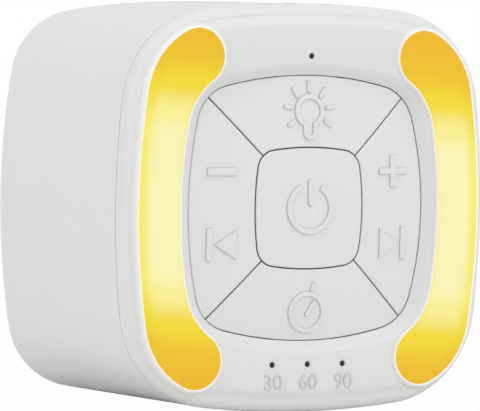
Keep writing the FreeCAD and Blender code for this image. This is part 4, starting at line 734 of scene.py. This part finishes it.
class BuildWindowRims(bpy.types.Operator):
    """Softly rounded rim round each light window"""

    bl_idname = "sound_machine.window_rims"
    bl_label = "Window Rims"

    def execute(self, context):
        high = context.scene.sound_machine_sizes.rim_height / MM
        for side, word in ((-1, "left"), (1, "right")):
            profile = []
            for step in range(RIM_STEPS + 1):
                share = step / RIM_STEPS
                ring = rim_ring(side, 1 - share)
                rise = math.sin(math.pi / 2 * min(share / RIM_CREST, 1.0)) ** 1.15
                drop = 0.06 * max(share - RIM_CREST, 0) / (1 - RIM_CREST)
                depths = [(face_depth(x, z) + 0.03) * (1 - rise) - high * rise + drop for x, z in ring]
                profile.append((ring, depths))
            wall, floor = window_ring(side, 0.05), WINDOW_LEDGE - 0.05
            profile += [(wall, 0.3 - high), (wall, floor), (rim_ring(side, 1.0), floor)]
            rings = level_rings(profile)
            rim = ring_body(word + "_window_rim", rings)
            # Share of painted glow: none at the rim's foot, rising to full at its crest and on its inner
            # wall.
            shine = {}
            for step, ring in enumerate(rings):
                for point in ring:
                    shine[place_key(point)] = min(step / RIM_STEPS, 1.0) ** 1.5
            mark(rim, "shine", shine)
            smooth(rim)
            dress(rim, MATERIALS["rim"], "housing")
        return {"FINISHED"}


class BuildWindows(bpy.types.Operator):
    """Two glowing light windows with softly crowned fronts"""

    bl_idname = "sound_machine.windows"
    bl_label = "Light Windows"

    def execute(self, context):
        for side, word in ((-1, "left"), (1, "right")):
            lens = build_lens(side, word + "_lens")
            dress(lens, MATERIALS["lens"], "housing")
            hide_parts(word + "_light_window")
        return {"FINISHED"}


def build_lens(side, name):
    """A lens drawn in ring by ring from its border to its crown."""
    high = bpy.context.scene.sound_machine_sizes.rim_height / MM
    crown = LENS_PROUD - high + LENS_GAP
    rows = [(LENS_GAP, FACE_WALL), (LENS_GAP, 0.35 - high)]
    for inset in (LENS_GAP, 0.25, 0.5, 0.85, 1.3, 1.8, 2.4, 3.1, 3.8, LENS_CROWN_WIDTH):
        share = inset / LENS_CROWN_WIDTH
        rows.append((inset, LENS_GAP - high - crown * math.sqrt(1 - (1 - share) ** 2)))
    profile = [(window_ring(side, inset), depth) for inset, depth in rows]
    rings = level_rings(profile)
    lens = ring_body(name, rings, ends="cap")
    deep = {}
    for (points, _), ring in zip(profile, rings):
        for (x, z), point in zip(points, ring):
            outer = 1 - ease(inside_distance(WINDOW_OUTER, x, z) / DEEP_OUTER)
            inner = DEEP_INNER_SHARE * (1 - ease(-inside_distance(WINDOW_INNER, x, z) / DEEP_INNER))
            deep[place_key(point)] = max(outer, inner)
    mark(lens, "deep", deep)
    smooth(lens, 50)
    return lens


class BuildNumerals(bpy.types.Operator):
    """Thin raised timer numerals under the three indicator holes"""

    bl_idname = "sound_machine.numerals"
    bl_label = "Timer Numerals"

    def execute(self, context):
        size = context.scene.sound_machine_sizes.numeral_height / CAPITAL_SHARE
        numerals = []
        for word, x in (("30", -8.5), ("60", 0.1), ("90", 8.7)):
            clear_selection()
            bpy.ops.object.text_add(location=(0, 0, 0))
            text = bpy.context.object
            text.data.body = word
            text.data.size = size
            text.data.align_x = "CENTER"
            text.data.resolution_u = 8
            piece = raised(text, NUMERAL_SOFT, 0.05)
            base = min(vertex.co.y for vertex in piece.data.vertices) / MM
            stand_up(piece, x, NUMERAL_LINE - base, NUMERAL_RISE, NUMERAL_SOFT)
            numerals.append(piece)
        numerals = join(numerals, "timer_numerals")
        dress(numerals, MATERIALS["numeral"], "housing")
        return {"FINISHED"}


def raised(drawing, soft, slimmer):
    """Make a flat drawing a thin solid with soft edges, its outline drawn in by slimmer first."""
    drawing.data.fill_mode = "BOTH"
    drawing.data.extrude = 0.12 * MM
    drawing.data.bevel_depth = soft * MM
    drawing.data.bevel_resolution = 2
    drawing.data.offset = -slimmer * MM
    set_active(drawing)
    bpy.ops.object.convert(target="MESH")
    return bpy.context.object


def stand_up(piece, x, z, height, soft, ground=None):
    """Turn a raised drawing up onto the front, or onto a curved ground, and store where painted shade goes
    on its soft edges.
    """
    top = max(vertex.co.z for vertex in piece.data.vertices)
    # The wall share places painted shade: none on the top, full down the soft edges.
    wall = piece.data.attributes.new("wall", "FLOAT", "POINT")
    for index, vertex in enumerate(piece.data.vertices):
        across, up, out = vertex.co.x / MM + x, vertex.co.y / MM + z, (vertex.co.z - top) / MM
        wall.data[index].value = min(max(-out / soft, 0.0), 1.0)
        base = ground(across, up) if ground else 0.0
        vertex.co = to_world(across, base - height - out, up)
    set_active(piece)
    bpy.ops.object.mode_set(mode="EDIT")
    bpy.ops.mesh.select_all(action="SELECT")
    bpy.ops.mesh.remove_doubles(threshold=0.000002)
    bpy.ops.mesh.normals_make_consistent(inside=False)
    bpy.ops.object.mode_set(mode="OBJECT")


def drawn(name, outlines):
    """A flat drawing from closed outlines given in millimetres."""
    curve = bpy.data.curves.new(name, "CURVE")
    curve.dimensions = "2D"
    for outline in outlines:
        spline = curve.splines.new("POLY")
        spline.points.add(len(outline) - 1)
        for point, (x, z) in zip(spline.points, outline):
            point.co = (x * MM, z * MM, 0, 1)
        spline.use_cyclic_u = True
    drawing = bpy.data.objects.new(name, curve)
    bpy.context.scene.collection.objects.link(drawing)
    return drawing


def stroke(start, end, width, round_start=True, round_end=True):
    """Outline of a straight bar whose ends may be round."""
    angle = math.atan2(end[1] - start[1], end[0] - start[0])
    half, quarter = width / 2, math.pi / 2
    side = (-math.sin(angle) * half, math.cos(angle) * half)
    points = []
    if round_end:
        points += arc_points(*end, half, angle - quarter, angle + quarter, 8)
    else:
        points.append((end[0] - side[0], end[1] - side[1]))
    points.append((end[0] + side[0], end[1] + side[1]))
    if round_start:
        points += arc_points(*start, half, angle + quarter, angle + 3 * quarter, 8)
    else:
        points.append((start[0] + side[0], start[1] + side[1]))
    points.append((start[0] - side[0], start[1] - side[1]))
    return points


def block(x, z, width, height):
    """Outline of an upright bar about its middle."""
    return [(x - width / 2, z - height / 2), (x + width / 2, z - height / 2),
            (x + width / 2, z + height / 2), (x - width / 2, z + height / 2)]


def power_drawing():
    outer, inner, opening = 5.65, 4.5, math.radians(30.5)
    start, end = math.pi / 2 + opening, math.pi * 5 / 2 - opening
    ring = arc_points(0, 0, outer, start, end, 60) + [(outer * math.cos(end), outer * math.sin(end))]
    ring += arc_points(0, 0, inner, end, start, 60) + [(inner * math.cos(start), inner * math.sin(start))]
    return [ring, stroke((0, 1.1), (0, 5.75), 1.1)]


def lamp_drawing():
    bulb_z, foot_z = 20.9, 16.35
    outlines = []
    for bulb, neck in ((3.56, 1.65), (2.62, 0.75)):
        meeting = math.asin(neck / bulb)
        shoulder = bulb_z - bulb * math.cos(meeting)
        outline = arc_points(0, bulb_z, bulb, meeting - math.pi / 2, math.pi * 3 / 2 - meeting, 40)
        outline.append((-neck, shoulder))
        outlines.append(outline + arc_points(0, foot_z, neck, math.pi, 2 * math.pi, 12) + [(neck, foot_z)])
    rays = (((4.3, 21.56), (5.9, 21.8)), ((3.8, 18.65), (5.05, 17.8)), ((2.87, 24.05), (3.8, 25.55)))
    outlines.append(stroke((0, 25.25), (0, 27.0), 0.8))
    for start, end in rays:
        outlines.append(stroke(start, end, 0.8))
        outlines.append(stroke((-start[0], start[1]), (-end[0], end[1]), 0.8))
    return outlines


def clock_drawing():
    middle_z = -22.45
    rings = [arc_points(0, middle_z, radius, 0, 2 * math.pi, 64) for radius in (4.45, 3.5)]
    return [*rings, stroke((0, middle_z - 0.5), (1.6, -20.5), 0.9), stroke((1.0, -17.7), (1.45, -16.3), 0.8)]


def left_drawing():
    return [block(-20.95, 7.85, 6.7, 1.6), block(-23.75, -7.7, 1.2, 7.0),
            [(-22.5, -7.75), (-17.5, -10.9), (-17.5, -4.6)]]


def right_drawing():
    middle_x, middle_z, reach, half = 20.8, 7.9, 3.45, 0.65
    plus = []
    for turn in range(4):
        across, up = math.cos(turn * math.pi / 2), math.sin(turn * math.pi / 2)
        for x, z in ((reach, -half), (reach, half), (half, half)):
            plus.append((middle_x + x * across - z * up, middle_z + x * up + z * across))
    return [plus, block(23.65, -7.7, 1.2, 7.0), [(17.6, -4.55), (17.6, -11.0), (22.5, -7.75)]]


class BuildSymbols(bpy.types.Operator):
    """Raised symbols with soft edges, one piece on each key"""

    bl_idname = "sound_machine.symbols"
    bl_label = "Key Symbols"

    def execute(self, context):
        for word, body, outlines in (("power", "power_key", power_drawing()),
                                     ("lamp", "light_key", lamp_drawing()),
                                     ("clock", "timer_key", clock_drawing()),
                                     ("left", "left_rocker_key", left_drawing()),
                                     ("right", "right_rocker_key", right_drawing())):
            piece = raised(drawn(word + "_symbol", outlines), SYMBOL_SOFT, 0.75 * SYMBOL_SOFT)
            stand_up(piece, 0.0, 0.0, SYMBOL_RISE, SYMBOL_SOFT, crown_depth)
            smooth(piece)
            dress(piece, MATERIALS["symbol"], body)
        return {"FINISHED"}


class BuildPaintedGapShades(bpy.types.Operator):
    """Thin black strips in the key gaps: painted shade that shows as the dark lines between the keys"""

    bl_idname = "sound_machine.liners"
    bl_label = "Painted Key Gap Shades"

    def execute(self, context):
        inner = rounded_square(POWER_SHAPE, -KEY_GAP / 2 - 0.02)
        outer = rounded_square(POWER_SHAPE, 0.10)
        below = [crown_depth(x, z) + 0.26 for x, z in outer]
        profile = [(inner, below), (outer, below), (outer, KEY_BACK - 0.1), (inner, KEY_BACK - 0.1)]
        painted_gap_shade = ring_body("power_key_painted_gap_shade", level_rings(profile))
        smooth(painted_gap_shade)
        dress(painted_gap_shade, MATERIALS["frame"], "power_key")
        root = corner_centre(*POWER_SHAPE) * math.sqrt(2) + POWER_SHAPE[2] + 0.3
        tip = corner_centre(*KEY_SHAPE) * math.sqrt(2) + KEY_SHAPE[2] - 0.3
        for word, sign in (("light", 1), ("timer", -1)):
            painted_gap_shades = [diagonal_painted_gap_shade(side, sign, root, tip) for side in (-1, 1)]
            painted_gap_shades = join(painted_gap_shades, word + "_key_skirts")
            dress(painted_gap_shades, MATERIALS["frame"], word + "_key")
        return {"FINISHED"}


def diagonal_painted_gap_shade(side, sign, root, tip):
    """A thin black strip of painted shade in the gap along a key's slanting side, from root to tip along the
    diagonal.
    """
    rings = []
    for step in range(9):
        along = root + (tip - root) * step / 8
        ring = []
        for off, below in ((GAP_SHADE_INSIDE, 0.34), (GAP_SHADE_OUTSIDE, 0.34), (GAP_SHADE_OUTSIDE, None),
                           (GAP_SHADE_INSIDE, None)):
            x = side * (along - off) / math.sqrt(2)
            z = sign * (along + off) / math.sqrt(2)
            depth = crown_depth(x, z) + below if below else KEY_BACK - 0.1
            ring.append(to_world(x, depth, z))
        rings.append(ring)
    return ring_body("painted_gap_shade", rings, ends="cap")


class BuildShell(bpy.types.Operator):
    """Rear housing whose walls grow slightly squarer towards the back"""

    bl_idname = "sound_machine.shell"
    bl_label = "Rear Shell"

    def execute(self, context):
        source = frame["nodes"]["rear_housing"]
        shell = bpy.data.objects.new("rear_shell", source.data.copy())
        context.scene.collection.objects.link(shell)
        shell.matrix_world = source.matrix_world.copy()
        set_active(shell)
        bpy.ops.object.transform_apply(location=True, rotation=True, scale=True)
        bpy.ops.mesh.customdata_custom_splitnormals_clear()
        bpy.ops.object.mode_set(mode="EDIT")
        bpy.ops.mesh.select_all(action="SELECT")
        bpy.ops.mesh.remove_doubles(threshold=0.000002)
        bpy.ops.object.mode_set(mode="OBJECT")
        for vertex in shell.data.vertices:
            vertex.co = reshaped(vertex.co)
        smooth(shell, 30)
        modifier = shell.modifiers.new("even shading", "WEIGHTED_NORMAL")
        modifier.keep_sharp = True
        bpy.ops.object.modifier_apply(modifier=modifier.name)
        dress(shell, MATERIALS["body"], "housing")
        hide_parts("rear_housing")
        return {"FINISHED"}


def reach_of(shape, angle):
    """Distance from the middle to an outline's edge in a direction."""
    low, high = shape[0] * 0.8, shape[0] * 1.5
    for halving in range(24):
        middle = (low + high) / 2
        if inside_distance(shape, middle * math.cos(angle), middle * math.sin(angle)) > 0:
            low = middle
        else:
            high = middle
    return low


def reshaped(point):
    """Move a point of the outer wall from the plain box's outline to the one at its depth."""
    x, z = point.x / MM, (point.z - MIDDLE_Z) / MM
    depth = (point.y - FRONT_Y) / MM
    inside = inside_distance(CAD_SHAPE, x, z)
    if inside > WALL_INSIDE + WALL_BLEND:
        return point
    angle = math.atan2(z, x)
    scale = reach_of(shape_at(depth), angle) / reach_of(CAD_SHAPE, angle)
    share = 1 - ease((inside - WALL_INSIDE) / WALL_BLEND)
    scale = 1 + (scale - 1) * share
    return to_world(x * scale, depth, z * scale)


class BuildSpeaker(bpy.types.Operator):
    """Paper cone with its rolled surround and dust cap"""

    bl_idname = "sound_machine.speaker"
    bl_label = "Speaker"

    def execute(self, context):
        cone = turned_body("speaker_diaphragm", DIAPHRAGM, SPEAKER_DEPTH)
        smooth(cone)
        dress(cone, MATERIALS["cone"], "housing")
        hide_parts("speaker_cone")
        return {"FINISHED"}


class BuildStage(bpy.types.Operator):
    """Pale floor, soft studio lamps and the camera"""

    bl_idname = "sound_machine.stage"
    bl_label = "Stage"

    def execute(self, context):
        scene = context.scene
        clear_selection()
        bpy.ops.mesh.primitive_plane_add(size=8, location=(0, 0, 0))
        floor = bpy.context.object
        floor.name = "floor"
        floor.data.materials.append(floor_finish())
        world = bpy.data.worlds.new("studio")
        scene.world = world
        world.use_nodes = True
        light_world(world.node_tree)
        for name, place, size, power in LAMPS:
            lamp = bpy.data.lights.new(name, "AREA")
            lamp.size = size
            lamp.energy = power
            holder = bpy.data.objects.new(name, lamp)
            scene.collection.objects.link(holder)
            holder.location = place
            holder.rotation_euler = (LAMP_TARGET - Vector(place)).to_track_quat("-Z", "Y").to_euler()
        place_camera(scene)
        scene.view_settings.view_transform = "Standard"
        return {"FINISHED"}


def floor_finish():
    """A floor that the camera sees nearly white, with the object's shadow, and that bounces plain light."""
    material, tree, shader = new_material("white floor")
    nodes, links = tree.nodes, tree.links
    shader.inputs["Base Color"].default_value = (0.86, 0.86, 0.86, 1)
    shader.inputs["Roughness"].default_value = 0.9
    shader.inputs["Specular IOR Level"].default_value = 0.1
    white = nodes.new("ShaderNodeEmission")
    white.inputs["Strength"].default_value = 1.0
    path = nodes.new("ShaderNodeLightPath")
    share = add_math(tree, "MULTIPLY", path.outputs["Is Camera Ray"], FLOOR_WHITE)
    mix = nodes.new("ShaderNodeMixShader")
    links.new(share, mix.inputs[0])
    links.new(shader.outputs[0], mix.inputs[1])
    links.new(white.outputs[0], mix.inputs[2])
    links.new(mix.outputs[0], nodes["Material Output"].inputs["Surface"])
    return material


def light_world(tree):
    """An even room light behind a background that the camera sees white."""
    nodes, links = tree.nodes, tree.links
    glow = nodes["Background"]
    glow.inputs["Color"].default_value = (1, 1, 1, 1)
    glow.inputs["Strength"].default_value = ROOM_LIGHT
    seen = nodes.new("ShaderNodeBackground")
    seen.inputs["Color"].default_value = (1, 1, 1, 1)
    path = nodes.new("ShaderNodeLightPath")
    either = add_math(tree, "MAXIMUM", path.outputs["Is Camera Ray"], path.outputs["Is Transmission Ray"])
    mix = nodes.new("ShaderNodeMixShader")
    links.new(either, mix.inputs[0])
    links.new(glow.outputs[0], mix.inputs[1])
    links.new(seen.outputs[0], mix.inputs[2])
    links.new(mix.outputs[0], nodes["World Output"].inputs["Surface"])


def place_camera(scene):
    yaw, pitch, roll = math.radians(CAMERA_YAW), math.radians(CAMERA_PITCH), math.radians(CAMERA_ROLL)
    back = Vector((-math.sin(yaw) * math.cos(pitch), -math.cos(yaw) * math.cos(pitch), math.sin(pitch)))
    right = Vector((math.cos(yaw), -math.sin(yaw), 0))
    up = back.cross(right)
    turned = right * math.cos(roll) + up * math.sin(roll)
    above = up * math.cos(roll) - right * math.sin(roll)
    pose = Matrix((turned, above, back)).transposed().to_4x4()
    pose.translation = CAMERA_TARGET + back * CAMERA_DISTANCE
    camera = bpy.data.cameras.new("camera")
    holder = bpy.data.objects.new("camera", camera)
    scene.collection.objects.link(holder)
    holder.matrix_world = pose
    camera.lens = CAMERA_LENS
    camera.shift_x, camera.shift_y = CAMERA_SHIFT
    scene.camera = holder


class DressNodes(bpy.types.Operator):
    """Finishes of the pieces that keep the shape they came with"""

    bl_idname = "sound_machine.finishes"
    bl_label = "Finishes"

    def execute(self, context):
        slots = {item["node"]: item["material_slot"] for item in frame["record"]["subparts"]}
        for name, node in frame["nodes"].items():
            if slots[name] not in MATERIALS:
                raise RuntimeError(f"no finish for {name}: {slots[name]}")
            node.data.materials.clear()
            node.data.materials.append(MATERIALS[slots[name]])
        return {"FINISHED"}


def make_materials(colours):
    """Every finish by its material slot; window rims, symbols and numerals have one of their own."""
    MATERIALS["body"] = plain_finish("body plastic", tuple(colours.body_colour), 0.42)
    MATERIALS["keys"] = plain_finish("key plastic", tuple(colours.key_colour), 0.42)
    MATERIALS["rim"] = rim_finish(colours)
    MATERIALS["lens"] = glow_finish(colours)
    MATERIALS["symbol"] = symbol_finish("symbol plastic", tuple(colours.key_colour), SYMBOL_PAINTED_SHADE)
    MATERIALS["numeral"] = symbol_finish("numeral plastic", NUMERAL_TOP, NUMERAL_PAINTED_SHADE)
    for slot, name, colour, roughness, options in FINISHES:
        MATERIALS[slot] = plain_finish(name, colour, roughness, **options)
    MATERIALS["cell"] = cell_finish()


OPERATORS = (BuildStage, DressNodes, BuildShell, BuildBezel, BuildWindowRims, BuildWindows, BuildNumerals,
             BuildSymbols, BuildPaintedGapShades, BuildSpeaker)


class SoundMachinePanel(bpy.types.Panel):
    bl_idname = "VIEW3D_PT_sound_machine"
    bl_label = "Sound Machine"
    bl_space_type = "VIEW_3D"
    bl_region_type = "UI"
    bl_category = "Sound Machine"

    def draw(self, context):
        layout = self.layout
        for group in (context.scene.sound_machine_sizes, context.scene.sound_machine_colours):
            for name in group.__annotations__:
                layout.prop(group, name)
        for operator in OPERATORS:
            layout.operator(operator.bl_idname)


CLASSES = (SoundMachineSizes, SoundMachineColours) + OPERATORS + (SoundMachinePanel,)


def register():
    for item in CLASSES:
        bpy.utils.register_class(item)
    bpy.types.Scene.sound_machine_sizes = PointerProperty(type=SoundMachineSizes)
    bpy.types.Scene.sound_machine_colours = PointerProperty(type=SoundMachineColours)


def unregister():
    del bpy.types.Scene.sound_machine_colours
    del bpy.types.Scene.sound_machine_sizes
    for item in reversed(CLASSES):
        bpy.utils.unregister_class(item)


def main():
    register()
    make_materials(bpy.context.scene.sound_machine_colours)
    for operator in OPERATORS:
        group, name = operator.bl_idname.split(".")
        getattr(getattr(bpy.ops, group), name)()


if __name__ == "__main__":
    main()
